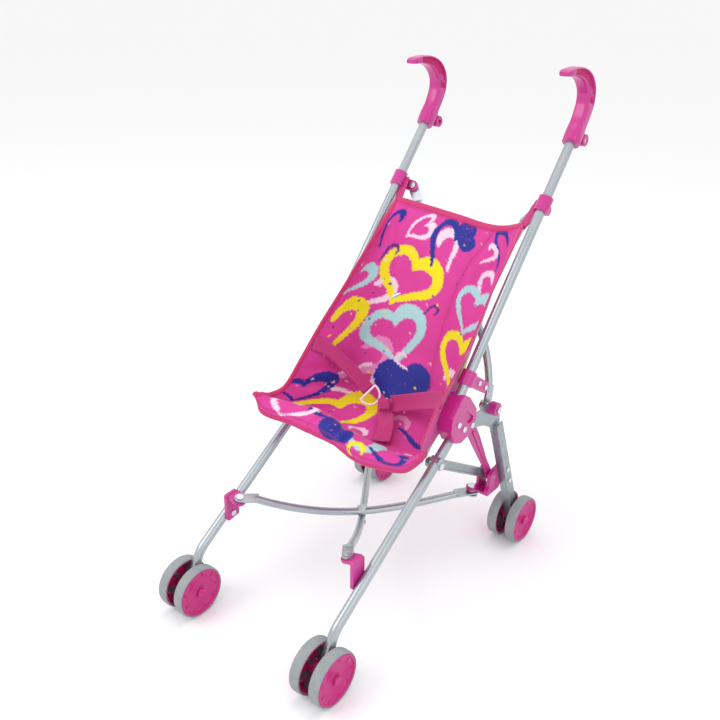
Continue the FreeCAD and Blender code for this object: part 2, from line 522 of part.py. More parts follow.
crossed("back", back_bar, BACK_CROSS, tuple(back_n), False)

# ---- wheels: hard hub with a soft tyre ring, two on each axle ---------------------------
HUB_R = WHEEL_R - TYRE_T
BORE_R = AXLE_R + AXLE_CLEAR


def wheel_parts(yz, x_mid, out):
    """Hub and tyre of one wheel; out is +1 for the wheel nearer +X, -1 for the other."""
    inner = PAIR_HALF - WHEEL_W
    face, back = PAIR_HALF, inner

    def turned(profile):
        pts = [V(a, 0, r) for a, r in profile]
        return Part.Face(Part.makePolygon(pts + [pts[0]])).revolve(V(0, 0, 0), V(1, 0, 0), 360)

    hub = turned([(back + 0.6, HUB_R), (face - 0.4, HUB_R), (face - 0.4, HUB_R - 2.0), (face - 1.8, HUB_R - 3.0),
                  (face - 1.8, 13.5), (face - 4.6, 11.5), (face - 4.6, 5.6), (face - 1.6, 4.6),
                  (face - 1.6, BORE_R), (back, BORE_R), (back, 5.0), (face - 6.4, 5.0), (face - 6.4, 12.4),
                  (face - 3.6, 14.4), (face - 3.6, HUB_R - 2.4), (back + 0.6, HUB_R - 2.4)])
    for i in range(9):
        a = 2 * math.pi * i / 9
        c = (17.0 * math.cos(a), 17.0 * math.sin(a))
        hub = hub.cut(xrod(0, 40, c, 1.6))
    ribs = []
    for i in range(6):
        rib = Part.makeBox(face - 6.0 - back - 1.2, 1.4, HUB_R - 2.0 - 4.6, V(back + 1.2, -0.7, 4.6))
        rib.rotate(V(0, 0, 0), V(1, 0, 0), 60 * i)
        ribs.append(rib)
    hub = hub.fuse(ribs).removeSplitter()
    tyre = turned([(back + 0.6, HUB_R), (back, HUB_R + 1.2), (back + 0.4, WHEEL_R - 1.2), (back + 1.8, WHEEL_R),
                   (face - 1.8, WHEEL_R), (face - 0.4, WHEEL_R - 1.2), (face, HUB_R + 1.2), (face - 0.4, HUB_R)])
    done = []
    for s in (hub, tyre):
        if out < 0:
            s = mirrored(s)
        s.translate(V(x_mid, yz[0], yz[1]))
        done.append(s)
    return done


for place, yz, x_mid in (("front", FRONT_AXLE, SIDE_X), ("rear", REAR_AXLE, REAR_AXLE_X)):
    for which, out in (("outer", 1), ("inner", -1)):
        hub, tyre = wheel_parts(yz, x_mid, out)
        both("%s_%s_hub" % (place, which), hub)
        both("%s_%s_tyre" % (place, which), tyre)
    e = PAIR_HALF - 1.6 + 0.2
    axle = xrod(x_mid - e - 1.0, x_mid + e + 1.0, yz, AXLE_R)
    axle = axle.fuse([xrod(x_mid - e - 1.4, x_mid - e, yz, 3.8), xrod(x_mid + e, x_mid + e + 1.4, yz, 3.8)])
    both("%s_axle" % place, axle.removeSplitter())

# ---- sling seat and straps (soft pieces, drawn as plain closed shapes) -------------------
SEAT_W = 86.0            # half width of the sling
TOP = (181.0, 409.0)
CREASE = (74.0, 196.0)
FRONT = (-34.0, 196.0)
SEAT_LOW = (18.0, 168.0)
CREASE_LOW = (58.0, 177.0)
back_u = unit(CREASE, TOP)
back_w = (back_u[1], -back_u[0])
inner_line = [TOP, CREASE, CREASE_LOW, SEAT_LOW, FRONT]
outer_line = []
for i, p in enumerate(inner_line):
    a = inner_line[max(i - 1, 0)]
    b = inner_line[min(i + 1, len(inner_line) - 1)]
    d = unit(a, b)
    outer_line.append((p[0] - d[1] * FABRIC_T, p[1] + d[0] * FABRIC_T))
sling = plate(inner_line + outer_line[::-1], -SEAT_W, SEAT_W)
wing_outline = [TOP, CREASE, CREASE_LOW, SEAT_LOW, FRONT, (-46.0, 222.0), (-24.0, 222.0), (44.0, 292.0),
                (120.0, 360.0), (172.0, 414.0)]
wings = [plate(wing_outline, SEAT_W - FABRIC_T, SEAT_W), plate(wing_outline, -SEAT_W, -SEAT_W + FABRIC_T)]
seat = sling.fuse(wings).removeSplitter()
save("seat_fabric", seat)

loop = Part.makeBox(7.0, 20.0, 1.4, V(86.3, 178.0, 404.0))
save("strap_loops", Part.makeCompound([loop, mirrored(loop)]))
belt_y, belt_z = 22.0, 214.0
save("waist_belt_left", Part.makeBox(74.0, 2.0, 17.0, V(-83.5, belt_y, belt_z)))
save("waist_belt_right", Part.makeBox(74.0, 2.0, 17.0, V(9.5, belt_y, belt_z)))
save("buckle_ring", Part.makeBox(18.0, 3.0, 21.0, V(-9.0, belt_y - 0.5, belt_z - 2.0)).cut(
    Part.makeBox(11.0, 5.0, 14.0, V(-5.5, belt_y - 1.5, belt_z + 1.5))))
save("crotch_strap", Part.makeBox(22.0, 2.0, 36.0, V(-11.0, belt_y, belt_z - 38.5)))

box = Part.makeCompound([s for _, s in DRAWN]).BoundBox
print("overall", round(box.XLength, 2), round(box.YLength, 2), round(box.ZLength, 2),
      "y", round(box.YMin, 2), round(box.YMax, 2), "z", round(box.ZMin, 2), "nodes", len(DRAWN))
for name, s in DRAWN:
    if not s.isValid() or s.Volume < 1:
        print("BAD", name, s.isValid(), s.Volume)
    if len(s.Solids) != 1:
        print("solids", name, len(s.Solids))
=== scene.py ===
import math

import bpy
import numpy as np
from mathutils import Matrix, Vector, noise


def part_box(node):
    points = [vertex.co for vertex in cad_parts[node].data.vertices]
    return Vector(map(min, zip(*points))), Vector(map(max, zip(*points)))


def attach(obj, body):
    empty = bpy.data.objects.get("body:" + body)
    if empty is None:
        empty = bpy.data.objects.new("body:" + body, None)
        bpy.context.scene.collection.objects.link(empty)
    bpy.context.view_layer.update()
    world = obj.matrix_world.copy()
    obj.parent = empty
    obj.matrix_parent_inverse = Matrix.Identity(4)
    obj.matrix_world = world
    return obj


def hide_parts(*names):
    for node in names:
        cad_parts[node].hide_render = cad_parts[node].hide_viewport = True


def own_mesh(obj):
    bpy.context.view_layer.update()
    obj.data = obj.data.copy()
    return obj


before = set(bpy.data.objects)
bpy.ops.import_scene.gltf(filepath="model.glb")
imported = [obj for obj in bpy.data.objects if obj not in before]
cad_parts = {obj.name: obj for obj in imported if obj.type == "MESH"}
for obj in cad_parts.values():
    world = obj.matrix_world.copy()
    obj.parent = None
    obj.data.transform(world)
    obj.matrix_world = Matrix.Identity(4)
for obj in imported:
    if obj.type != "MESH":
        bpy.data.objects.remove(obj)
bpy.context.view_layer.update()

# ---- Frame tubes: two bent handle-and-leg tubes a side and the crossed folding bars. ----
# Thin-walled steel tube, cut, bent and flattened at the pins, then sprayed with silver powder.
# Baked powder leaves a satin skin with a faint orange peel and a soft, wide highlight.


def srgb(hexcode):
    """An sRGB hex colour as the linear red, green, blue, alpha that Blender's sockets take."""
    out = []
    for i in (0, 2, 4):
        c = int(hexcode[i:i + 2], 16) / 255
        out.append(c / 12.92 if c <= 0.04045 else ((c + 0.055) / 1.055) ** 2.4)
    return (*out, 1.0)


def node(tree, kind, settings=None, links=None, **sockets):
    """Adds one node: settings are its properties, links its linked inputs, and the rest input values."""
    n = tree.nodes.new(kind)
    for k, v in (settings or {}).items():
        setattr(n, k, v)
    for k, v in sockets.items():
        n.inputs[k.replace("_", " ")].default_value = v
    for k, v in (links or {}).items():
        tree.links.new(v, n.inputs[k])
    return n


def finish_named(name):
    """A new material with only its surface shader and output, ready for the nodes of one real finish."""
    m = bpy.data.materials.new(name)
    m.use_nodes = True
    shader = m.node_tree.nodes["Principled BSDF"]
    return m, m.node_tree, shader


powder_silver, tree, skin = finish_named("powder_coated_steel_silver")
skin.inputs["Metallic"].default_value = 0.75
skin.inputs["Specular IOR Level"].default_value = 0.5
place = node(tree, "ShaderNodeTexCoord")
cloud = node(tree, "ShaderNodeTexNoise", links={"Vector": place.outputs["Object"]}, Scale=26.0, Detail=3.0)
tone = node(tree, "ShaderNodeMix", {"data_type": "RGBA"}, {"Factor": cloud.outputs["Fac"]})
tone.inputs[6].default_value, tone.inputs[7].default_value = srgb("A2AAB0"), srgb("B6BDC2")
tree.links.new(tone.outputs[2], skin.inputs["Base Color"])
# powder grains melt to lumps about 0.5 mm across; drawn at 1.2 mm so that they show
peel = node(tree, "ShaderNodeTexNoise", links={"Vector": place.outputs["Object"]}, Scale=820.0, Detail=2.0)
gloss = node(tree, "ShaderNodeMapRange", links={"Value": cloud.outputs["Fac"]})
gloss.inputs["To Min"].default_value, gloss.inputs["To Max"].default_value = 0.20, 0.32
tree.links.new(gloss.outputs["Result"], skin.inputs["Roughness"])
lumps = node(tree, "ShaderNodeBump", links={"Height": peel.outputs["Fac"]}, Strength=0.10, Distance=0.0004)
tree.links.new(lumps.outputs["Normal"], skin.inputs["Normal"])


def coat(names, material):
    """Gives CAD nodes whose names start with one of these words their finish."""
    for n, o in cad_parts.items():
        if n.startswith(names):
            if not o.data.materials:
                o.data.materials.append(material)
            for s in o.material_slots:
                s.material = material


coat(("handle_tube", "front_leg", "lower_bar", "back_bar"), powder_silver)

# ---- Pressed rear legs, side links, axles, screws and rivets. --------------------------
# Strip steel folded to a channel, and wire axles, all zinc plated in a barrel after forming.
# Plating keeps the roll marks of the strip and has small bright and dull patches.

zinc_plate, tree, skin = finish_named("zinc_plated_pressed_steel")
skin.inputs["Metallic"].default_value = 0.85
place = node(tree, "ShaderNodeTexCoord")
patch = node(tree, "ShaderNodeTexVoronoi", {"feature": "SMOOTH_F1"}, {"Vector": place.outputs["Object"]}, Scale=170.0)
tone = node(tree, "ShaderNodeMix", {"data_type": "RGBA"}, {"Factor": patch.outputs["Distance"]})
tone.inputs[6].default_value, tone.inputs[7].default_value = srgb("949DA2"), srgb("AAB3B8")
tree.links.new(tone.outputs[2], skin.inputs["Base Color"])
# rolling lines run down the strip, 0.4 mm apart; drawn at 0.9 mm
run = node(tree, "ShaderNodeMapping", links={"Vector": place.outputs["Object"]}, Scale=(1100.0, 1100.0, 30.0))
lines = node(tree, "ShaderNodeTexNoise", links={"Vector": run.outputs["Vector"]}, Scale=1.0, Detail=2.0)
gloss = node(tree, "ShaderNodeMapRange", links={"Value": lines.outputs["Fac"]})
gloss.inputs["To Min"].default_value, gloss.inputs["To Max"].default_value = 0.26, 0.46
tree.links.new(gloss.outputs["Result"], skin.inputs["Roughness"])
score = node(tree, "ShaderNodeBump", links={"Height": lines.outputs["Fac"]}, Strength=0.12, Distance=0.0003)
tree.links.new(score.outputs["Normal"], skin.inputs["Normal"])
coat(("rear_leg", "side_link"), zinc_plate)

bright_zinc, tree, skin = finish_named("bright_zinc_screws_and_rivets")
skin.inputs["Base Color"].default_value = srgb("D4D8DB")
skin.inputs["Metallic"].default_value = 1.0
place = node(tree, "ShaderNodeTexCoord")
wear = node(tree, "ShaderNodeTexNoise", links={"Vector": place.outputs["Object"]}, Scale=700.0, Detail=3.0)
gloss = node(tree, "ShaderNodeMapRange", links={"Value": wear.outputs["Fac"]})
gloss.inputs["To Min"].default_value, gloss.inputs["To Max"].default_value = 0.14, 0.32
tree.links.new(gloss.outputs["Result"], skin.inputs["Roughness"])
coat(("frame_fasteners", "rear_fasteners", "front_axle", "rear_axle", "lower_rivet", "back_rivet"), bright_zinc)

# ---- Moulded joints: brackets, clamps, hinge blocks, knobs and lock struts. ------------
# Injection-moulded ABS in one pink, from polished tools, pushed or screwed on to the tubes.
# Gloss skin with shallow sink ripples; the pink darkens a little where light passes less.

pink_abs, tree, skin = finish_named("injection_moulded_abs_pink")
skin.inputs["IOR"].default_value = 1.53
skin.inputs["Coat Weight"].default_value = 0.25
skin.inputs["Coat Roughness"].default_value = 0.12
skin.inputs["Subsurface Weight"].default_value = 0.06
skin.inputs["Subsurface Radius"].default_value = (0.004, 0.0012, 0.002)
place = node(tree, "ShaderNodeTexCoord")
flow = node(tree, "ShaderNodeTexNoise", links={"Vector": place.outputs["Object"]}, Scale=34.0, Detail=2.0)
tone = node(tree, "ShaderNodeMix", {"data_type": "RGBA"}, {"Factor": flow.outputs["Fac"]})
tone.inputs[6].default_value, tone.inputs[7].default_value = srgb("B81A7E"), srgb("C2288A")
tree.links.new(tone.outputs[2], skin.inputs["Base Color"])
sink = node(tree, "ShaderNodeTexNoise", links={"Vector": place.outputs["Object"]}, Scale=190.0, Detail=1.0)
gloss = node(tree, "ShaderNodeMapRange", links={"Value": sink.outputs["Fac"]})
gloss.inputs["To Min"].default_value, gloss.inputs["To Max"].default_value = 0.24, 0.36
tree.links.new(gloss.outputs["Result"], skin.inputs["Roughness"])
ripple = node(tree, "ShaderNodeBump", links={"Height": sink.outputs["Fac"]}, Strength=0.06, Distance=0.0006)
tree.links.new(ripple.outputs["Normal"], skin.inputs["Normal"])
coat(("upper_bracket", "clamp", "hinge_block", "rear_bracket", "knob", "front_bracket", "lock_strut"), pink_abs)

# ---- Grips: a hooked handle on each tube's end, with a screw boss behind its collar. ----
# Moulded in the same ABS, with a recess down each side of the hook to keep the wall even.
# The outside is as glossy as the brackets; the recess is etched, so it looks dull, and its darker crimson is painted
# shade.

# painted shade: a darker crimson for the grip recesses, the hub ports and the hub backs between the ribs
recess_painted_shade, tree, skin = finish_named("moulded_pink_recess_painted_shade")
skin.inputs["IOR"].default_value = 1.53
skin.inputs["Roughness"].default_value = 0.5
skin.inputs["Specular IOR Level"].default_value = 0.3
place = node(tree, "ShaderNodeTexCoord")
flow = node(tree, "ShaderNodeTexNoise", links={"Vector": place.outputs["Object"]}, Scale=60.0, Detail=2.0)
tone = node(tree, "ShaderNodeMix", {"data_type": "RGBA"}, {"Factor": flow.outputs["Fac"]})
tone.inputs[6].default_value, tone.inputs[7].default_value = srgb("AC0850"), srgb("BE1064")
tree.links.new(tone.outputs[2], skin.inputs["Base Color"])
etch = node(tree, "ShaderNodeTexNoise", links={"Vector": place.outputs["Object"]}, Scale=800.0, Detail=2.0)
dull = node(tree, "ShaderNodeBump", links={"Height": etch.outputs["Fac"]}, Strength=0.12, Distance=0.0003)
tree.links.new(dull.outputs["Normal"], skin.inputs["Normal"])

SHIFT_MM = 46.9       # the drawing's zero is this far behind the middle of the footprint
SIDE_X_MM = 100.0     # the side frames stand this far from the middle plane
# the grip's middle line (y, z), its depth and its width at each point, in mm, from the collar to the tip
GRIP_RUN = (((249.5, 488.2), 20, 20), ((253, 492.3), 20.5, 20), ((257.5, 498), 20, 19), ((263, 506), 16.5, 17),
            ((270, 517), 17, 17), ((275.5, 529), 19, 17), ((275.5, 543), 19.5, 17), ((267, 555), 17.5, 16.5),
            ((255, 562.2), 13.5, 16), ((242, 565.4), 10.5, 15.5), ((229, 566), 8, 15), ((219, 565.2), 6.4, 14),
            ((215.5, 564.6), 4.4, 11))
GRIP_STEPS, GRIP_ROUND = 72, 48
ROUND_TO = 0.16       # the collar is round, and the section squares up over this share of the length
SQUARE = 0.42         # corner sharpness of the squared section
RECESS_FROM, RECESS_TO, RECESS_DEEP, RECESS_HALF = 0.36, 0.90, 2.6, 0.62
RIB_AT, RIB_SLOPE, RIB_HALF = 62.0, 0.9, 1.3      # the diagonal rib in the recess, mm
GRIP_BOSS = (270.9, 489.8)                        # the boss's middle (y, z)
BOSS_RIM = ((6.4, -8.6), (6.8, -8.2), (6.8, 8.2), (6.4, 8.6), (2.7, 8.6), (2.7, -8.6))     # (radius, along the screw)
BOSS_ROUND = 40
WEB_HALF, WEB = 5.5, ((253, 487.5), (268, 484), (276.5, 493), (263, 505))
grip_line = np.array([p for p, _, _ in GRIP_RUN])
grip_at = np.concatenate([[0], np.cumsum(np.linalg.norm(np.diff(grip_line, axis=0), axis=1))])


def smooth_line(knots, values, at):
    """Values along knots on a smooth line through them all."""
    values = np.asarray(values, float)
    slope = np.gradient(values, knots, axis=0)
    i = np.clip(np.searchsorted(knots, at, "right") - 1, 0, len(knots) - 2)
    h = knots[i + 1] - knots[i]
    u = (at - knots[i]) / h
    if values.ndim > 1:
        h, u = h[:, None], u[:, None]
    return ((2 * u ** 3 - 3 * u ** 2 + 1) * values[i] + (u ** 3 - 2 * u ** 2 + u) * h * slope[i]
            + (3 * u ** 2 - 2 * u ** 3) * values[i + 1] + (u ** 3 - u ** 2) * h * slope[i + 1])


def new_piece(name, verts, faces, *materials):
    """A smooth-shaded mesh object with its materials, linked into the scene."""
    me = bpy.data.meshes.new(name)
    me.from_pydata(verts, [], faces)
    me.shade_smooth()
    for m in materials:
        me.materials.append(m)
    o = bpy.data.objects.new(name, me)
    bpy.context.scene.collection.objects.link(o)
    return o


def hooked_grip(name, x_mid):
    """One grip: a swept rounded section with a recess down each side, a diagonal rib in it, and the screw boss."""
    def put(x, y, z):
        verts.append(((x_mid + x) * 0.001, (y - SHIFT_MM) * 0.001, z * 0.001))

    at = np.linspace(0, grip_at[-1], GRIP_STEPS)
    line = smooth_line(grip_at, grip_line, at)
    deep, wide = (smooth_line(grip_at, [row[k] for row in GRIP_RUN], at) for k in (1, 2))
    t = np.gradient(line, axis=0)
    t /= np.linalg.norm(t, axis=1, keepdims=True)
    out = np.stack([t[:, 1], -t[:, 0]], 1)
    verts, faces, recessed = [], [], []
    for i in range(GRIP_STEPS):
        f = at[i] / at[-1]
        square = SQUARE if f > ROUND_TO else SQUARE + (1 - SQUARE) * (1 - f / ROUND_TO)
        cut = RECESS_DEEP * max(0.0, min(1.0, (f - RECESS_FROM) / 0.03, (RECESS_TO - f) / 0.05))
        for k in range(GRIP_ROUND):
            a = 2 * math.pi * k / GRIP_ROUND
            u = math.copysign(abs(math.cos(a)) ** square, math.cos(a))
            v = math.copysign(abs(math.sin(a)) ** square, math.sin(a))
            rib = abs(u * deep[i] * 0.5 + (at[i] - RIB_AT) * RIB_SLOPE) < RIB_HALF
            sunk = cut * (0.25 if rib else 1.0) if abs(u) < RECESS_HALF else 0.0
            x = v * wide[i] / 2
            x -= math.copysign(min(sunk, abs(x)), x) if sunk else 0.0
            p = line[i] + out[i] * u * deep[i] / 2
            put(x, p[0], p[1])
            recessed.append(sunk > 0.8)
    n = GRIP_ROUND
    for i in range(GRIP_STEPS - 1):
        for k in range(n):
            j = (k + 1) % n
            faces.append((i * n + k, i * n + j, (i + 1) * n + j, (i + 1) * n + k))
    faces += [tuple(range(n - 1, -1, -1)), tuple((GRIP_STEPS - 1) * n + k for k in range(n))]
    # faces down in the recess take the darker crimson, painted shade
    dark = [all(recessed[v] for v in f) for f in faces]
    # the screw boss, turned about the screw
    base, m = len(verts), len(BOSS_RIM)
    for k in range(BOSS_ROUND):
        a = 2 * math.pi * k / BOSS_ROUND
        for r, x in BOSS_RIM:
            put(x, GRIP_BOSS[0] + r * math.cos(a), GRIP_BOSS[1] + r * math.sin(a))
    for k in range(BOSS_ROUND):
        here, there = base + k * m, base + (k + 1) % BOSS_ROUND * m
        faces += [(here + j, here + (j + 1) % m, there + (j + 1) % m, there + j) for j in range(m)]
    # the web between the boss and the grip
    web = len(verts)
    for x in (-WEB_HALF, WEB_HALF):
        for y, z in WEB:
            put(x, y, z)
    faces += [(web, web + 1, web + 2, web + 3), (web + 7, web + 6, web + 5, web + 4)]
    faces += [(web + k, web + 4 + k, web + 4 + (k + 1) % 4, web + (k + 1) % 4) for k in range(4)]
    dark += [False] * (len(faces) - len(dark))
    o = new_piece(name, verts, faces, pink_abs, recess_painted_shade)
    o.data.polygons.foreach_set("material_index", [int(d) for d in dark])
    o.modifiers.new("edges", "EDGE_SPLIT").split_angle = math.radians(38)
    return o


for side, x_side, body in (("right", SIDE_X_MM, "frame"), ("left", -SIDE_X_MM, "left_frame")):
    grip = hooked_grip("grip_%s_moulded" % side, x_side)
    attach(grip, body)
    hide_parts("grip_" + side)

# ---- Wheels: eight dished hubs with ribbed backs and soft tyre rings. -------------------
# The hub is polypropylene moulded in pink, the tyre a foamed EVA ring stretched over it.
# Polypropylene is duller than ABS; the tyre is matt grey with fine closed-cell texture.

hub_pp, tree, skin = finish_named("moulded_polypropylene_hub_pink")
skin.inputs["IOR"].default_value = 1.49
place = node(tree, "ShaderNodeTexCoord")
flow = node(tree, "ShaderNodeTexNoise", links={"Vector": place.outputs["Object"]}, Scale=60.0, Detail=3.0)
tone = node(tree, "ShaderNodeMix", {"data_type": "RGBA"}, {"Factor": flow.outputs["Fac"]})
tone.inputs[6].default_value, tone.inputs[7].default_value = srgb("B81470"), srgb("C42480")
tree.links.new(tone.outputs[2], skin.inputs["Base Color"])
skin.inputs["Roughness"].default_value = 0.38
grain = node(tree, "ShaderNodeTexNoise", links={"Vector": place.outputs["Object"]}, Scale=900.0, Detail=2.0)
etched = node(tree, "ShaderNodeBump", links={"Height": grain.outputs["Fac"]}, Strength=0.08, Distance=0.0003)
tree.links.new(etched.outputs["Normal"], skin.inputs["Normal"])
tyre_eva, tree, skin = finish_named("foamed_eva_tyre_grey")
skin.inputs["IOR"].default_value = 1.48
skin.inputs["Specular IOR Level"].default_value = 0.35
place = node(tree, "ShaderNodeTexCoord")
scuff = node(tree, "ShaderNodeTexNoise", links={"Vector": place.outputs["Object"]}, Scale=120.0, Detail=4.0)
tone = node(tree, "ShaderNodeMix", {"data_type": "RGBA"}, {"Factor": scuff.outputs["Fac"]})
tone.inputs[6].default_value, tone.inputs[7].default_value = srgb("858A8D"), srgb("9EA3A6")
tree.links.new(tone.outputs[2], skin.inputs["Base Color"])
skin.inputs["Roughness"].default_value = 0.72
# foam cells are 0.2 mm; drawn at 0.8 mm
cells = node(tree, "ShaderNodeTexVoronoi", links={"Vector": place.outputs["Object"]}, Scale=1250.0)
skinned = node(tree, "ShaderNodeBump", links={"Height": cells.outputs["Distance"]}, Strength=0.16, Distance=0.0004)
tree.links.new(skinned.outputs["Normal"], skin.inputs["Normal"])

# the ribs of the hub's back in matt charcoal; the darker crimson between them is painted shade, so that the back looks
# deep
charcoal_pp, tree, skin = finish_named("moulded_polypropylene_rib_charcoal")
skin.inputs["Roughness"].default_value = 0.5
place = node(tree, "ShaderNodeTexCoord")
flow = node(tree, "ShaderNodeTexNoise", links={"Vector": place.outputs["Object"]}, Scale=80.0, Detail=3.0)
tone = node(tree, "ShaderNodeMix", {"data_type": "RGBA"}, {"Factor": flow.outputs["Fac"]})
tone.inputs[6].default_value, tone.inputs[7].default_value = srgb("3A363C"), srgb("4C474E")
tree.links.new(tone.outputs[2], skin.inputs["Base Color"])

# half sections as (radius, how far towards the wheel's face from its middle), in mm
HUB_FACE = ((0.05, 7.1), (1.0, 7.15), (1.4, 7.6), (3.7, 7.7), (4.7, 7.3), (5.1, 6.4), (5.4, 3.6), (6.8, 2.0),
            (9.5, 1.3), (13.0, 1.2), (17.0, 2.2), (19.4, 3.6), (20.2, 4.5), (24.6, 4.6), (25.1, 4.9), (25.4, 6.1),
            (26.1, 6.6), (27.0, 6.6), (27.6, 6.1), (27.8, 5.4))
HUB_BACK = ((27.8, -5.0), (27.2, -6.1), (26.4, -6.1), (26.0, -4.6), (25.2, 1.2), (18.8, 1.6), (13.0, -0.9),
            (8.6, -0.6), (6.6, -1.4), (6.2, -6.0), (2.6, -6.2), (2.3, -5.6), (2.3, 5.0), (4.1, 5.0), (4.1, 6.85),
            (0.05, 6.85))
TYRE_FACE = ((27.75, 5.6), (28.1, 6.2), (28.7, 6.35), (29.2, 5.9), (29.55, 5.0), (29.8, 4.2), (29.72, 3.9),
             (29.82, 3.6), (29.97, 3.0), (29.85, 2.5), (29.97, 2.0), (30.0, 0.6))
PORTS, PORT_RING, PORT_R, PORT_DEEP = 9, 22.4, 1.35, 2.6      # the small blind holes in the hub's ledge
RIBS, RIB_TOP, RIB_WIDE = 6, -4.8, 2.8


def turned(name, centre, out_x, section, material, steps, hub):
    """A ring turned about the wheel's axle from a closed section; a hub also gets its ports and back ribs."""
    verts, faces, kinds = [], [], []
    m = len(section)
    for k in range(steps):
        a = 2 * math.pi * k / steps
        for i, (r, x) in enumerate(section):
            kind = 0
            # faces between the back ribs and inside the ports get the darker crimson: painted shade
            if hub and i >= m // 2 and -3 < x < 2 and 8.7 < r < 25.3:
                off_rib = abs((a * RIBS / (2 * math.pi) + 0.5) % 1 - 0.5) * 2 * math.pi / RIBS * r
                x, kind = (RIB_TOP, 2) if off_rib < RIB_WIDE / 2 else (x, 1)
            elif hub and abs(r - PORT_RING) < 2.0 and x > 2:
                near = min(abs((a - 2 * math.pi * j / PORTS + math.pi) % (2 * math.pi) - math.pi) for j in range(PORTS))
                if math.hypot(near * PORT_RING, r - PORT_RING) < PORT_R:
                    x, kind = x - PORT_DEEP, 1
            kinds.append(kind)
            verts.append((centre[0] + out_x * x * 0.001, centre[1] + math.cos(a) * r * 0.001,
                          centre[2] + math.sin(a) * r * 0.001))
    for k in range(steps):
        here, there = k * m, (k + 1) % steps * m
        for i in range(m):
            f = (here + i, here + (i + 1) % m, there + (i + 1) % m, there + i)
            faces.append(f if out_x > 0 else f[::-1])
    if not hub:
        return new_piece(name, verts, faces, material)
    # the ports and the back between the ribs take the darker crimson as painted shade; the ribs take the charcoal
    o = new_piece(name, verts, faces, material, recess_painted_shade, charcoal_pp)
    corners = [[kinds[v] for v in f] for f in faces]
    o.data.polygons.foreach_set("material_index", [0 if 0 in kind else max(kind) for kind in corners])
    return o


def finely(points, gap=0.55):
    """A section with its straight runs cut to short steps, so that the ports have edges."""
    out = []
    for (r0, x0), (r1, x1) in zip(points, points[1:]):
        n = max(1, int(math.hypot(r1 - r0, x1 - x0) / gap))
        out += [(r0 + (r1 - r0) * k / n, x0 + (x1 - x0) * k / n) for k in range(n)]
    return out + [points[-1]]


hub_section = finely(HUB_FACE) + finely(HUB_BACK)
tyre_section = list(TYRE_FACE) + [(r, -x) for r, x in TYRE_FACE[::-1]]
for wheel in ("front_outer", "front_inner", "rear_outer", "rear_inner"):
    for side, sx in (("right", 1), ("left", -1)):
        mid = [(a + b) / 2 for a, b in zip(*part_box("%s_tyre_%s" % (wheel, side)))]
        out_x = sx if wheel.endswith("outer") else -sx
        hub = turned("%s_hub_%s_moulded" % (wheel, side), mid, out_x, hub_section, hub_pp, 216, True)
        tyre = turned("%s_tyre_%s_ring" % (wheel, side), mid, out_x, tyre_section, tyre_eva, 144, False)
        for o, kind, slot_name in ((hub, "hub", "hub_plastic"), (tyre, "tyre", "grey_tyre")):
            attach(o, "%s_wheel_%s" % (wheel, side))
            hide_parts("%s_%s_%s" % (wheel, kind, side))

# ---- Sling seat: one printed cloth from the top straps to the front hem. ----------------
# Plain-weave polyester, 0.8 mm thick with its lining, heat-transfer printed with brushed hearts,
# with a gusset seam on the right, hung from the frame so that it bows back and sags in creases.

SHIFT_Y = SHIFT_MM * 0.001
CLOTH = 0.0008        # thickness, m
WIDE_HALF, LONG = 118, 374      # the flat cloth's half width and its length, mm
# rows run down the cloth: how far down it is (mm), then left edge to right edge (mm)
HANG = (
    (0, ((-87, 179, 408), (-64, 183, 405), (-40, 185.5, 402), (0, 187, 398), (40, 188, 394), (62, 185, 397),
         (87, 179, 407))),
    (28, ((-89, 151, 380), (-81, 163, 379.5), (-63, 170, 378), (0, 173, 374), (50, 173, 371), (74, 168, 374),
          (89, 152, 380))),
    (62, ((-91, 113, 344), (-86, 136, 345), (-69, 152, 345), (0, 158, 342), (48, 157, 340), (75, 148, 342),
          (91, 114, 344))),
    (100, ((-94, 82, 312), (-86, 110, 312), (-72, 134, 311), (0, 141, 308), (46, 139, 306), (76, 126, 309),
           (94, 83, 312))),
    (138, ((-96, 46, 279), (-85, 84, 278), (-73, 114, 276), (0, 124, 273), (48, 122, 271), (77, 104, 275),
           (96, 48, 279))),
    (176, ((-96, 13, 248), (-83, 54, 243), (-73, 92, 239), (0, 107, 236), (51, 104, 235), (78, 80, 239),
           (96, 14, 249))),
    (216, ((-97, -16, 221), (-83, 24, 211), (-72, 64, 204), (0, 88, 201), (54, 82, 200), (80, 50, 205), (95, -2, 227))),
    (250, ((-98, -36, 219), (-84, -6, 199), (-68, 36, 186), (0, 66, 177), (56, 60, 176), (81, 28, 188),
           (95, -10, 216))),
    (298, ((-100, -50, 224), (-85, -28, 203), (-62, 0, 187), (0, 22, 170), (54, 22, 168), (81, 10, 180),
           (97, -14, 210))),
    (340, ((-101, -57, 227), (-86, -46, 220), (-58, -30, 216), (-8, -24, 203), (40, -20, 192), (80, -14, 194),
           (100, -16, 207))),
    (358, ((-102, -60, 226), (-88, -57, 214), (-60, -47, 210), (-8, -40, 202), (40, -34, 187), (80, -26, 190),
           (100, -18, 206))),
    (374, ((-101, -59, 221), (-89, -58, 206), (-60, -49, 201), (-8, -40, 192), (40, -33, 177), (80, -24, 181),
           (99, -17, 200))),
)
ACROSS = np.array([-118.0, -88.0, -66.0, 0.0, 54.0, 86.0, 118.0])   # places across the flat cloth, mm
DOWN = np.array([float(t) for t, _ in HANG])


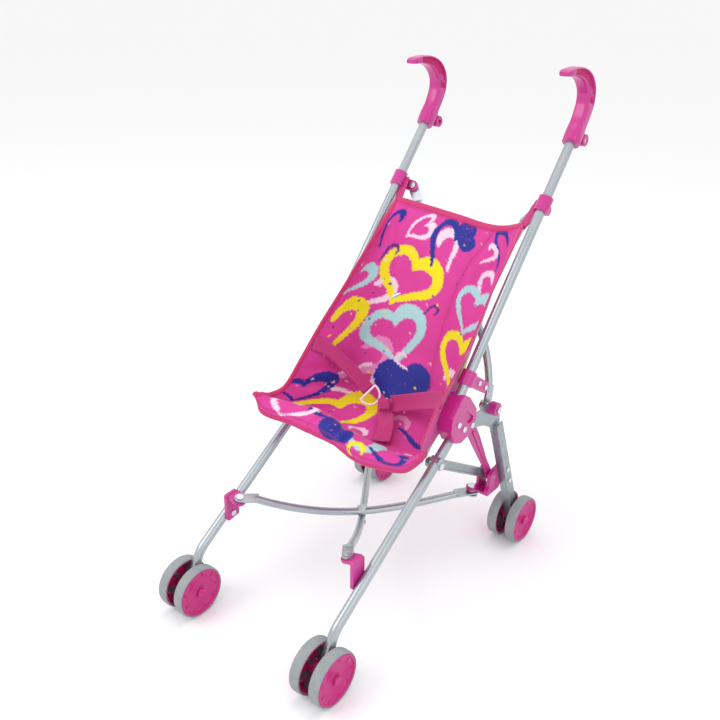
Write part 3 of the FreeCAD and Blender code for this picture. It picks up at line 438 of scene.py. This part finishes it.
def eased(knots, values, at):
    """Values at new places along knots, on a smooth line through every given value (monotone-safe cubic)."""
    knots, values = np.asarray(knots, float), np.asarray(values, float)
    step_ = np.diff(knots)
    rise = np.diff(values, axis=0) / step_.reshape(-1, *([1] * (values.ndim - 1)))
    slope = np.empty_like(values)
    slope[0], slope[-1] = rise[0], rise[-1]
    w = (step_[1:] / (step_[1:] + step_[:-1])).reshape(-1, *([1] * (values.ndim - 1)))
    slope[1:-1] = rise[:-1] * w + rise[1:] * (1 - w)
    i = np.clip(np.searchsorted(knots, at, "right") - 1, 0, len(knots) - 2)
    shape = (-1, *([1] * (values.ndim - 1)))
    h = step_[i].reshape(shape)
    u = ((at - knots[i]) / step_[i]).reshape(shape)
    return ((2 * u ** 3 - 3 * u ** 2 + 1) * values[i] + (u ** 3 - 2 * u ** 2 + u) * h * slope[i]
            + (3 * u ** 2 - 2 * u ** 3) * values[i + 1] + (u ** 3 - u ** 2) * h * slope[i + 1])


hang = np.array([row for _, row in HANG], float) * 0.001
hang[:, :, 1] -= SHIFT_Y


NU, NV = 190, 330
across = np.linspace(-WIDE_HALF, WIDE_HALF, NU)
down = np.linspace(0, LONG, NV)
rows = eased(DOWN, hang, down)                           # NV x 7 x 3
cloth = eased(ACROSS, rows.transpose(1, 0, 2), across).transpose(1, 0, 2)     # NV x NU x 3
du = np.gradient(cloth, axis=1)
dv = np.gradient(cloth, axis=0)
facing = np.cross(du, dv)
facing /= np.linalg.norm(facing, axis=2, keepdims=True)
S, T = np.meshgrid(across, down)


def bell(x, mid, width):
    return np.exp(-((x - mid) / width) ** 2)


# pull creases: from the strap corners, fanned from the side seams, and slack rolls across the seat
crease = np.zeros_like(S)
for s0, t0, angle, length, wide, deep in (
    (-70, 40, 68, 70, 5.0, 1.1), (-52, 60, 60, 90, 6.0, 0.8), (70, 42, 108, 80, 5.5, 1.3),
    (50, 70, 100, 90, 7.0, 1.0), (-78, 196, 18, 60, 6.0, 2.0), (-70, 222, 26, 70, 6.5, 2.2),
    (-40, 238, 5, 60, 7.0, 1.6), (72, 204, 158, 60, 6.0, 2.0), (64, 232, 150, 66, 6.5, 2.4),
    (18, 240, 172, 50, 7.0, 1.7), (-20, 286, 30, 60, 7.0, 2.0), (34, 300, 148, 60, 7.5, 2.2),
    (62, 322, 128, 46, 5.5, 1.8), (-62, 312, 40, 50, 6.0, 1.7), (4, 328, 90, 40, 6.0, 1.4),
    (-6, 120, 84, 120, 11.0, 0.9), (-34, 352, 96, 30, 4.5, 1.6), (20, 352, 80, 30, 4.5, 1.8),
    (56, 350, 100, 26, 4.0, 1.4), (-70, 350, 78, 26, 4.0, 1.2),
):
    a = math.radians(angle)
    along_ = (S - s0) * math.cos(a) + (T - t0) * math.sin(a)
    off = -(S - s0) * math.sin(a) + (T - t0) * math.cos(a) + 0.0022 * along_ ** 2 * math.copysign(1, s0)
    crease += deep * (bell(off, 0, wide) - 0.55 * bell(off, wide * 1.5, wide)) * bell(along_, 0, length * 0.62)
# the right gusset is sewn on along this line, which pulls a sharp fold into the cloth beside it
seam_s = eased(np.array([0.0, 22, 54, 90, 171, 236, 374]), np.array([66.0, 46, 31, 26, 24, 34, 60]), down)
past_seam = S - seam_s[:, None]
seam_run = np.clip((232 - T) / 40, 0, 1)
crease += seam_run * (2.6 * np.exp(-np.abs(past_seam) / 7.0) - 1.5 * bell(past_seam, 15, 10))
def lumpy(s, t, rough, share, seed, rough_seed):
    """Smooth seeded noise at a place on the flat cloth: a broad wave and a share of a finer one."""
    broad, fine = rough
    return (noise.noise(Vector((s * broad[0], t * broad[1], seed)))
            + share * noise.noise(Vector((s * fine[0], t * fine[1], rough_seed))))


SAG_WAVES, EDGE_WAVES = ((0.021, 0.017), (0.055, 0.043)), ((0.50, 0.50), (1.3, 1.3))     # per mm, broad and fine
slow = np.array([[lumpy(s, t, SAG_WAVES, 0.5, 3.1, 8.7) for s in across[::5]] for t in down[::5]])
slow = eased(down[::5], slow, down)
slow = eased(across[::5], slow.T, across).T
hold = np.clip((118 - np.abs(S)) / 22, 0, 1) * np.clip((T + 4) / 20, 0, 1)
cloth = cloth + facing * ((crease + slow * 2.2) * hold * 0.001)[..., None]

# the printed hearts: brush strokes laid one over another, as (kind, across, down, size, turn, colour)
print_rng = np.random.default_rng(48)
ink = {"pink": "D43A96", "yellow": "EBDD06", "navy": "1E2890", "aqua": "A6D0D4", "white": "EBCFE2", "pale": "DE86BC",
       "plum": "54207E"}
colour = np.empty(S.shape + (3,))
colour[:] = srgb(ink["pink"])[:3]
ragged = np.array([[lumpy(s, t, EDGE_WAVES, 0.6, 1.7, 4.2) for s in across] for t in down])


def brushed(points, widths, ink_name, side_of_seam=0):
    """One brush stroke: its line, the half width at each point in mm, and a ragged dry edge."""
    points, widths = np.asarray(points, float), np.asarray(widths, float)
    low, high = points.min(0) - 12, points.max(0) + 12
    near = (S > low[0]) & (S < high[0]) & (T > low[1]) & (T < high[1])
    if not near.any():
        return
    s, t = S[near], T[near]
    best = np.full(s.shape, 9e9)
    for i in range(len(points) - 1):
        a, b = points[i], points[i + 1]
        d = b - a
        q = np.clip(((s - a[0]) * d[0] + (t - a[1]) * d[1]) / max(d @ d, 1e-9), 0, 1)
        gap = np.hypot(s - a[0] - q * d[0], t - a[1] - q * d[1]) - (widths[i] * (1 - q) + widths[i + 1] * q)
        best = np.minimum(best, gap)
    cover = np.clip(0.5 - (best + 1.5 * ragged[near]) / 0.8, 0, 1)[:, None]
    if side_of_seam:
        cover *= ((past_seam[near] > 0) == (side_of_seam > 0))[:, None]
    colour[near] = colour[near] * (1 - cover) + np.array(srgb(ink[ink_name])[:3]) * cover


def heart_line(t0, t1, n=34):
    th = np.linspace(t0, t1, n)
    up = 13 * np.cos(th) - 5 * np.cos(2 * th) - 2 * np.cos(3 * th) - np.cos(4 * th)
    return np.stack([16 * np.sin(th) ** 3, -up], -1) / 16


def placed(line, s, t, size, turn):
    a = math.radians(turn)
    r = np.array([[math.cos(a), -math.sin(a)], [math.sin(a), math.cos(a)]])
    return line @ r.T * size + (s, t)


def heart(s, t, size, turn, ink_name, solid, part):
    """A brushed heart: a thin left lobe and a loaded right lobe, or a filled one."""
    cut = (1 if s > float(np.interp(t, down, seam_s)) + 4 else -1) if t < 232 else 0
    run34 = np.linspace(0, 1, 34)
    if solid:
        for k in np.linspace(0.12, 0.86, 9):
            brushed(placed(heart_line(0.2, 6.0) * k, s, t, size, turn), np.full(34, size * 0.075), ink_name, cut)
    if part != "right":
        line = placed(heart_line(3.35, 6.12), s, t, size, turn)
        brushed(line, np.interp(run34, (0, 0.3, 0.8, 1), (0.05, 0.13, 0.17, 0.06)) * size, ink_name, cut)
    if part != "left":
        line = placed(heart_line(0.16, 3.05), s, t, size, turn)
        brushed(line, np.interp(run34, (0, 0.25, 0.55, 1), (0.10, 0.27, 0.17, 0.05)) * size, ink_name, cut)


for s, t, size, turn, name, kind in (
    (-78, 104, 24, 32, "white", "right"), (-10, 44, 24, -40, "white", "right"), (-50, 24, 17, 40, "white", "both"),
    (-58, 214, 20, -20, "white", "both"), (76, 70, 20, 20, "white", "left"), (48, 186, 18, -12, "white", "right"),
    (-66, 182, 30, 24, "pale", "right"), (104, 116, 17, 0, "pale", "both"), (14, 262, 20, 34, "pale", "left"),
    (-104, 84, 22, 30, "aqua", "right"), (-34, 152, 33, -20, "aqua", "both"), (64, 98, 28, 12, "aqua", "both"),
    (70, 262, 22, 8, "aqua", "right"), (-98, 300, 22, 24, "aqua", "left"), (30, 330, 24, 60, "aqua", "both"),
    (-40, 84, 36, 16, "yellow", "both"), (-104, 144, 30, -14, "yellow", "right"), (62, 156, 32, 8, "yellow", "both"),
    (-58, 262, 32, -16, "yellow", "both"), (92, 306, 20, 20, "yellow", "right"), (-8, 206, 30, -6, "navy", "solid"),
    (-84, 30, 22, 10, "navy", "left"), (-2, 36, 30, 30, "navy", "left"), (16, 16, 17, 96, "navy", "solid"),
    (88, 26, 24, 28, "navy", "left"), (-100, 222, 24, -8, "navy", "both"), (36, 250, 24, 70, "navy", "right"),
    (-34, 326, 24, -50, "navy", "left"), (70, 340, 20, 84, "navy", "right"), (-2, 352, 22, 10, "navy", "solid"),
    (2, 118, 11, 80, "plum", "left"), (100, 190, 18, -20, "navy", "left"), (-70, 344, 20, 10, "white", "both"),
    (62, 300, 20, -40, "white", "left"), (-16, 300, 20, 20, "white", "left"), (44, 362, 18, 30, "yellow", "left"),
    (104, 60, 15, 30, "plum", "left"), (84, 226, 20, 14, "yellow", "left"), (-12, 176, 12, -30, "white", "left"),
    (54, 30, 14, 20, "white", "right"), (-70, 62, 12, 60, "plum", "left"), (84, 128, 12, 10, "white", "right"),
):
    heart(s, t, size, turn, name, kind == "solid", kind if kind in ("left", "right") else "both")
for _ in range(150):
    s, t = print_rng.uniform(-108, 108), print_rng.uniform(6, 366)
    brushed([(s, t), (s + 0.3, t + 0.3)], np.full(2, print_rng.uniform(0.35, 1.25)),
            ("white", "navy", "pale", "yellow", "plum")[print_rng.integers(5)])


def sheet_mesh(name, grid, uv_s, uv_t, paint=None):
    """A mesh from a grid of points, with the flat cloth's millimetres as its UV map."""
    nv, nu = grid.shape[:2]
    idx = np.arange(nv * nu).reshape(nv, nu)
    quads = np.stack([idx[:-1, :-1], idx[:-1, 1:], idx[1:, 1:], idx[1:, :-1]], -1).reshape(-1, 4)
    me = bpy.data.meshes.new(name)
    me.from_pydata(grid.reshape(-1, 3).tolist(), [], quads.tolist())
    me.shade_smooth()
    uv = me.uv_layers.new(name="flat_mm")
    flat_uv = np.stack([uv_s.reshape(-1), uv_t.reshape(-1)], -1)[quads.reshape(-1)]
    uv.data.foreach_set("uv", (flat_uv * 0.001).astype(np.float32).reshape(-1))
    if paint is not None:
        dye = me.color_attributes.new("print", "FLOAT_COLOR", "POINT")
        rgba = np.concatenate([paint.reshape(-1, 3), np.ones((nv * nu, 1))], 1)
        dye.data.foreach_set("color", rgba.astype(np.float32).reshape(-1))
    o = bpy.data.objects.new(name, me)
    bpy.context.scene.collection.objects.link(o)
    return o


def thicken(o, thick):
    """Gives a sheet its thickness, as real geometry."""
    m = o.modifiers.new("cloth_thickness", "SOLIDIFY")
    m.thickness, m.offset, m.use_even_offset = thick, 0.0, False
    bpy.context.view_layer.update()
    done = bpy.data.meshes.new_from_object(o.evaluated_get(bpy.context.evaluated_depsgraph_get()))
    o.modifiers.clear()
    o.data = done
    o.data.shade_smooth()


printed_polyester, tree, skin = finish_named("heat_transfer_printed_polyester")
skin.inputs["Roughness"].default_value = 0.62
skin.inputs["Specular IOR Level"].default_value = 0.32
skin.inputs["Sheen Weight"].default_value = 0.18
skin.inputs["Sheen Roughness"].default_value = 0.4
dye = node(tree, "ShaderNodeVertexColor", {"layer_name": "print"})
flat = node(tree, "ShaderNodeUVMap", {"uv_map": "flat_mm"})
# threads are 0.25 mm apart; drawn at 1.1 mm so that the weave shows
on_flat = {"Vector": flat.outputs["UV"]}
warp = node(tree, "ShaderNodeTexWave", {"bands_direction": "X"}, on_flat, Scale=290.0, Distortion=0.6)
weft = node(tree, "ShaderNodeTexWave", {"bands_direction": "Y"}, on_flat, Scale=290.0, Distortion=0.6)
plain = node(tree, "ShaderNodeMath", {"operation": "MULTIPLY"})
tree.links.new(warp.outputs["Fac"], plain.inputs[0])
tree.links.new(weft.outputs["Fac"], plain.inputs[1])
worn = node(tree, "ShaderNodeTexNoise", links=on_flat, Scale=22.0, Detail=4.0)
# the print is darkened between the threads of the weave: painted shade
thread_gap_painted_shade = node(tree, "ShaderNodeMapRange", links={"Value": plain.outputs["Value"]})
thread_gap_painted_shade.inputs["To Min"].default_value, thread_gap_painted_shade.inputs["To Max"].default_value = 0.93, 1.03
fade = node(tree, "ShaderNodeMapRange", links={"Value": worn.outputs["Fac"]})
fade.inputs["To Min"].default_value, fade.inputs["To Max"].default_value = 0.92, 1.06
both = node(tree, "ShaderNodeMath", {"operation": "MULTIPLY"})
tree.links.new(thread_gap_painted_shade.outputs["Result"], both.inputs[0])
tree.links.new(fade.outputs["Result"], both.inputs[1])
dyed = node(tree, "ShaderNodeVectorMath", {"operation": "SCALE"},
            {"Vector": dye.outputs["Color"], "Scale": both.outputs["Value"]})
tree.links.new(dyed.outputs["Vector"], skin.inputs["Base Color"])
threads = node(tree, "ShaderNodeBump", links={"Height": plain.outputs["Value"]}, Strength=0.22, Distance=0.0003)
tree.links.new(threads.outputs["Normal"], skin.inputs["Normal"])

seat_cloth = sheet_mesh("seat_cloth", cloth, S, T, colour)
seat_cloth.data.materials.append(printed_polyester)
thicken(seat_cloth, CLOTH)
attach(seat_cloth, "frame")
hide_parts("seat_fabric")

# ---- Binding: a folded tape sewn round the edges, and the gusset seam. ------------------
# Polyester bias tape folded in half over the raw edge, 6 to 8 mm of it showing, lock-stitched.
# It is a deeper pink than the cloth, rounds the edge, and puckers a little at each stitch.

bound_tape, tree, skin = finish_named("woven_polyester_binding_tape")
skin.inputs["Roughness"].default_value = 0.55
skin.inputs["Sheen Weight"].default_value = 0.25
place = node(tree, "ShaderNodeTexCoord")
rib = node(tree, "ShaderNodeTexNoise", links={"Vector": place.outputs["Object"]}, Scale=420.0, Detail=3.0)
tone = node(tree, "ShaderNodeMix", {"data_type": "RGBA"}, {"Factor": rib.outputs["Fac"]})
tone.inputs[6].default_value, tone.inputs[7].default_value = srgb("B40A58"), srgb("CC1A70")
tree.links.new(tone.outputs[2], skin.inputs["Base Color"])
pucker = node(tree, "ShaderNodeBump", links={"Height": rib.outputs["Fac"]}, Strength=0.35, Distance=0.0005)
tree.links.new(pucker.outputs["Normal"], skin.inputs["Normal"])


def tube_along(name, points, wide, thick, material, normals, closed=False):
    """A soft flattened tube along points; normals say which way its thickness faces."""
    pts = np.asarray(points, float)
    tang = np.gradient(pts, axis=0)
    tang /= np.linalg.norm(tang, axis=1, keepdims=True)
    side = np.cross(tang, np.asarray(normals, float))
    side /= np.linalg.norm(side, axis=1, keepdims=True)
    nrm = np.cross(side, tang)
    ring = []
    for k in range(12):
        a = 2 * math.pi * k / 12
        ring.append(pts + side * (math.cos(a) * wide / 2) + nrm * (math.sin(a) * thick / 2))
    ring = np.stack(ring, 1)
    n = len(pts)
    verts = ring.reshape(-1, 3).tolist()
    faces = [(i * 12 + k, i * 12 + (k + 1) % 12, (i + 1) * 12 + (k + 1) % 12, (i + 1) * 12 + k)
             for i in range(n - 1) for k in range(12)]
    if not closed:
        faces += [tuple(range(11, -1, -1)), tuple((n - 1) * 12 + k for k in range(12))]
    return new_piece(name, verts, faces, material)


TOP_TAPE, SIDE_TAPE = 0.0078, 0.0064
edge_lines = {
    "binding_left": (cloth[:, 0], facing[:, 0]), "binding_right": (cloth[:, -1], facing[:, -1]),
    "binding_top": (cloth[0], facing[0]), "binding_front": (cloth[-1], facing[-1]),
}
soft_pieces = [seat_cloth]
for name, (line, out) in edge_lines.items():
    tape = tube_along(name, line, TOP_TAPE if name == "binding_top" else SIDE_TAPE, 0.0024, bound_tape, out)
    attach(tape, "frame")
    soft_pieces.append(tape)

# lock stitches along the hem and down each side of the gusset seam; spun thread has a soft low gloss
seam_thread, tree, skin = finish_named("polyester_sewing_thread_rose")
skin.inputs["Base Color"].default_value = srgb("A80F58")
skin.inputs["Roughness"].default_value = 0.5


def stitch_run(name, line, out, gap_m=0.0031, lift=0.0006):
    """Short thread lengths laid end to end along a line on the cloth's face."""
    line, out = np.asarray(line), np.asarray(out)
    dist = np.concatenate([[0], np.cumsum(np.linalg.norm(np.diff(line, axis=0), axis=1))])
    verts, faces = [], []
    for d0 in np.arange(0.002, dist[-1] - 0.003, gap_m):
        ends = []
        for d in (d0, d0 + gap_m * 0.36, d0 + gap_m * 0.72):
            p = np.array([np.interp(d, dist, line[:, k]) for k in range(3)])
            n = np.array([np.interp(d, dist, out[:, k]) for k in range(3)])
            ends.append((p, n / np.linalg.norm(n)))
        t = ends[2][0] - ends[0][0]
        t /= np.linalg.norm(t)
        base = len(verts)
        for j, (p, n) in enumerate(ends):
            b = np.cross(t, n)
            up = lift * (1.0 if j == 1 else 0.45)
            for ca, sa in ((1, 0), (0, 1), (-1, 0), (0, -1)):
                verts.append(tuple(p + n * (up + 0.00022 * sa) + b * 0.00030 * ca))
        for b0 in (base, base + 4):
            for k in range(4):
                faces.append((b0 + k, b0 + (k + 1) % 4, b0 + 4 + (k + 1) % 4, b0 + 4 + k))
    me = bpy.data.meshes.new(name)
    me.from_pydata(verts, [], faces)
    me.materials.append(seam_thread)
    o = bpy.data.objects.new(name, me)
    bpy.context.scene.collection.objects.link(o)
    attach(o, "frame")
    return o


face_sign = 1.0 if facing[NV // 3, NU // 2, 1] < 0 else -1.0      # the printed face looks forward
rows_to = int(NV * 0.60)
for k, gap in enumerate((-1.6, 1.6)):
    cols = np.clip(np.rint((seam_s[:rows_to] + gap + WIDE_HALF) / (2 * WIDE_HALF) * (NU - 1)).astype(int), 0, NU - 1)
    line, out = cloth[np.arange(rows_to), cols], facing[np.arange(rows_to), cols] * face_sign
    soft_pieces.append(stitch_run("gusset_stitch_%d" % k, line[4::3], out[4::3]))
for k, r in enumerate((int(NV * 0.958), int(NV * 0.966))):
    soft_pieces.append(stitch_run("hem_stitch_%d" % k, cloth[r, 6:-6], facing[r, 6:-6] * face_sign))
edge_in = 4
soft_pieces.append(stitch_run("top_stitch", cloth[edge_in, 4:-4], facing[edge_in, 4:-4] * face_sign))

# ---- Top straps: short webbing loops that hang the cloth from the upper brackets. -------
# 10 mm polypropylene webbing sewn to each top corner and pinned under the bracket screw.
# Flat woven tape with ribs across, darker in the grooves as painted shade, curling where it turns the tube.

webbing, tree, skin = finish_named("woven_polypropylene_webbing_pink")
skin.inputs["Roughness"].default_value = 0.5
skin.inputs["Sheen Weight"].default_value = 0.15
flat = node(tree, "ShaderNodeUVMap", {"uv_map": "flat_mm"})
# picks are 0.7 mm apart; drawn at 1.3 mm
on_flat = {"Vector": flat.outputs["UV"]}
picks = node(tree, "ShaderNodeTexWave", {"bands_direction": "Y"}, on_flat, Scale=240.0, Distortion=0.5)
ends_ = node(tree, "ShaderNodeTexWave", {"bands_direction": "X"}, on_flat, Scale=150.0, Distortion=0.3)
weave = node(tree, "ShaderNodeMath", {"operation": "MULTIPLY"})
tree.links.new(picks.outputs["Fac"], weave.inputs[0])
tree.links.new(ends_.outputs["Fac"], weave.inputs[1])
# the weave's grooves take the darker pink: painted shade
tone = node(tree, "ShaderNodeMix", {"data_type": "RGBA"}, {"Factor": weave.outputs["Value"]})
tone.inputs[6].default_value, tone.inputs[7].default_value = srgb("B01868"), srgb("D4348A")
tree.links.new(tone.outputs[2], skin.inputs["Base Color"])
ribbed = node(tree, "ShaderNodeBump", links={"Height": weave.outputs["Value"]}, Strength=0.4, Distance=0.0005)
tree.links.new(ribbed.outputs["Normal"], skin.inputs["Normal"])


WEBBING = 0.0014      # thickness, m


def strap(name, path_mm, wide_mm, faces_mm, steps=40, curl=0.0):
    """Flat webbing along points (mm, part frame before the shift), each with the way its face looks."""
    pts = np.array(path_mm, float) * 0.001
    pts[:, 1] -= SHIFT_Y
    d = np.concatenate([[0], np.cumsum(np.linalg.norm(np.diff(pts, axis=0), axis=1))])
    at_ = np.linspace(0, d[-1], steps)
    line = eased(d, pts, at_)
    out = eased(d, np.array(faces_mm, float), at_)
    out /= np.linalg.norm(out, axis=1, keepdims=True)
    t = np.gradient(line, axis=0)
    t /= np.linalg.norm(t, axis=1, keepdims=True)
    side = np.cross(t, out)
    side /= np.linalg.norm(side, axis=1, keepdims=True)
    out = np.cross(side, t)
    w = np.linspace(-0.5, 0.5, 9)
    wide = wide_mm * 0.001
    lift = curl * 0.001 * (4 * w ** 2 - 1)
    grid = line[:, None] + side[:, None] * (w * wide)[None, :, None] + out[:, None] * lift[None, :, None]
    s_, t_ = np.meshgrid(w * wide_mm, at_ * 1000)
    o = sheet_mesh(name, grid, s_, t_)
    o.data.materials.append(webbing)
    thicken(o, WEBBING)
    return o


for side, sx in (("right", 1), ("left", -1)):
    loop = strap("strap_loop_" + side,
                 ((sx * 86, 178, 404), (sx * 88, 184, 409), (sx * 91, 196, 421), (sx * 93, 204, 430)),
                 10.0, ((0, -0.7, 0.7),) * 4, steps=24)
    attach(loop, "frame")
    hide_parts("strap_loops")
    soft_pieces.append(loop)

# ---- Harness: two waist belts, a ring buckle and a wide crotch strap. -------------------
# 16 and 20 mm webbing sewn into the side seams, threaded through a moulded acetal ring.
# The belts hang slack across the lap, twisted a little where the ring pulls them.

belt_left = strap("waist_belt_left_webbing",
                  ((-93, 30, 262), (-84, 42, 254), (-66, 56, 234), (-50, 64, 215), (-40, 68, 203)),
                  16.0, ((0.55, -0.7, 0.45), (0.5, -0.72, 0.48), (0.45, -0.75, 0.48), (0.4, -0.75, 0.5),
                         (0.4, -0.75, 0.5)), curl=0.8)
belt_right = strap("waist_belt_right_webbing",
                   ((93, 24, 252), (74, 36, 240), (46, 50, 224), (16, 62, 207), (-6, 67, 196)),
                   20.0, ((-0.1, -0.85, 0.5), (0.1, -0.85, 0.5), (0.25, -0.8, 0.5), (0.3, -0.78, 0.52),
                          (0.35, -0.75, 0.55)), curl=1.4)
crotch = strap("crotch_strap_webbing",
               ((-12, 67, 201), (-8, 61, 190), (0, 51, 181), (8, 38, 176), (16, 22, 174)),
               20.0, ((0.3, -0.85, 0.4), (0.3, -0.8, 0.5), (0.25, -0.65, 0.7), (0.2, -0.5, 0.85),
                      (0.1, -0.3, 0.95)), curl=0.8)
tuck = strap("belt_tuck_webbing",
             ((-2, 60, 200), (-9, 57, 198), (-16, 60, 194), (-17, 66, 190), (-10, 68, 188)),
             12.0, ((0.6, -0.7, 0.4), (0.3, -0.85, 0.4), (-0.4, -0.8, 0.4), (-0.8, -0.3, 0.3),
                    (-0.6, 0.5, 0.2)), steps=26)
for o, n, flat_size in ((belt_left, "waist_belt_left", (0.016, 0.089)),
                        (belt_right, "waist_belt_right", (0.020, 0.122)),
                        (crotch, "crotch_strap", (0.020, 0.056)), (tuck, "waist_belt_right", (0.012, 0.034))):
    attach(o, "frame")
    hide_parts(n)
    soft_pieces.append(o)

# acetal is dense and waxy: nearly white here, with a clear small highlight
pale_acetal, tree, skin = finish_named("moulded_acetal_ring_pale_pink")
skin.inputs["IOR"].default_value = 1.48
skin.inputs["Roughness"].default_value = 0.3
place = node(tree, "ShaderNodeTexCoord")
flow = node(tree, "ShaderNodeTexNoise", links={"Vector": place.outputs["Object"]}, Scale=90.0, Detail=2.0)
tone = node(tree, "ShaderNodeMix", {"data_type": "RGBA"}, {"Factor": flow.outputs["Fac"]})
tone.inputs[6].default_value, tone.inputs[7].default_value = srgb("F3E0EC"), srgb("FBF0F6")
tree.links.new(tone.outputs[2], skin.inputs["Base Color"])
ring_line = []
for k in range(49):
    a = math.pi * (k / 48) - math.pi / 2
    ring_line.append((14.5 * math.cos(a), 12.5 * math.sin(a)))
ring_line = [(-1.5, -12.5)] + ring_line + [(-1.5, 12.5)] + [(-1.5, 12.5 - 25.0 * k / 12) for k in range(1, 13)]
mid = np.array((-38.0, 66.0, 200.0)) * 0.001 - (0, SHIFT_Y, 0)
across_v = np.array((0.73, 0.21, -0.64)); across_v /= np.linalg.norm(across_v)
face_v = np.array((0.50, -0.76, 0.42)); face_v -= across_v * (face_v @ across_v); face_v /= np.linalg.norm(face_v)
up_v = np.cross(face_v, across_v)
ring_pts = np.array([mid + across_v * a * 0.001 + up_v * b * 0.001 for a, b in ring_line])
ring = tube_along("ring_buckle", ring_pts, 0.0026, 0.0026, pale_acetal, np.tile(face_v, (len(ring_pts), 1)),
                  closed=True)
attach(ring, "frame")
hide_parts("buckle_ring")
soft_pieces.append(ring)

# the cloth and harness pieces each get their own copy of their mesh data
for o in soft_pieces:
    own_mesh(o)

# ---- Setting: a white paper floor, an even white room, soft boxes, and the camera. ------
# Matt paper takes a soft contact shadow under the wheels and no gloss.
# The Standard view keeps the pinks as strong as their hex values say.

floor_white, tree, skin = finish_named("matt_white_floor_paper")
skin.inputs["Base Color"].default_value = (0.93, 0.93, 0.94, 1)
skin.inputs["Roughness"].default_value = 0.9
me = bpy.data.meshes.new("floor")
me.from_pydata([(-80, -80, 0), (80, -80, 0), (80, 80, 0), (-80, 80, 0)], [], [(0, 1, 2, 3)])
me.materials.append(floor_white)
floor = bpy.data.objects.new("floor", me)
bpy.context.scene.collection.objects.link(floor)

world = bpy.data.worlds.new("studio")
world.use_nodes = True
world.node_tree.nodes["Background"].inputs["Color"].default_value = (1, 1, 1, 1)
world.node_tree.nodes["Background"].inputs["Strength"].default_value = 1.0
bpy.context.scene.world = world


def soft_box(name, at, look, size, watts):
    light = bpy.data.lights.new(name, "AREA")
    light.shape, light.size, light.size_y, light.energy = "RECTANGLE", size[0], size[1], watts
    o = bpy.data.objects.new(name, light)
    o.matrix_world = Matrix.Translation(at) @ (Vector(look) - Vector(at)).to_track_quat("-Z", "Y").to_matrix().to_4x4()
    bpy.context.scene.collection.objects.link(o)


soft_box("key_softbox", (-0.9, -1.5, 1.7), (0, 0, 0.28), (1.2, 1.2), 13)
soft_box("fill_softbox", (1.7, -0.6, 1.1), (0, 0, 0.28), (1.0, 1.4), 3)
soft_box("top_softbox", (0.1, 0.3, 1.9), (0, 0, 0.28), (1.4, 1.4), 6)

bpy.context.scene.view_settings.view_transform = "Standard"

eye = Vector((0.51715, -0.68326, 0.65675))
aim = Vector((-0.0886, 0.0645, 0.2132))
back_v = (eye - aim).normalized()
right_v = Vector((0, 0, 1)).cross(back_v).normalized()
top_v = back_v.cross(right_v)
roll = math.radians(0.56)
right_v, top_v = right_v * math.cos(roll) + top_v * math.sin(roll), -right_v * math.sin(roll) + top_v * math.cos(roll)
lens = bpy.data.cameras.new("camera")
lens.lens, lens.sensor_width = 41.65, 36.0
camera = bpy.data.objects.new("camera", lens)
camera.matrix_world = Matrix.Translation(eye) @ Matrix((right_v, top_v, back_v)).transposed().to_4x4()
bpy.context.scene.collection.objects.link(camera)
bpy.context.scene.camera = camera
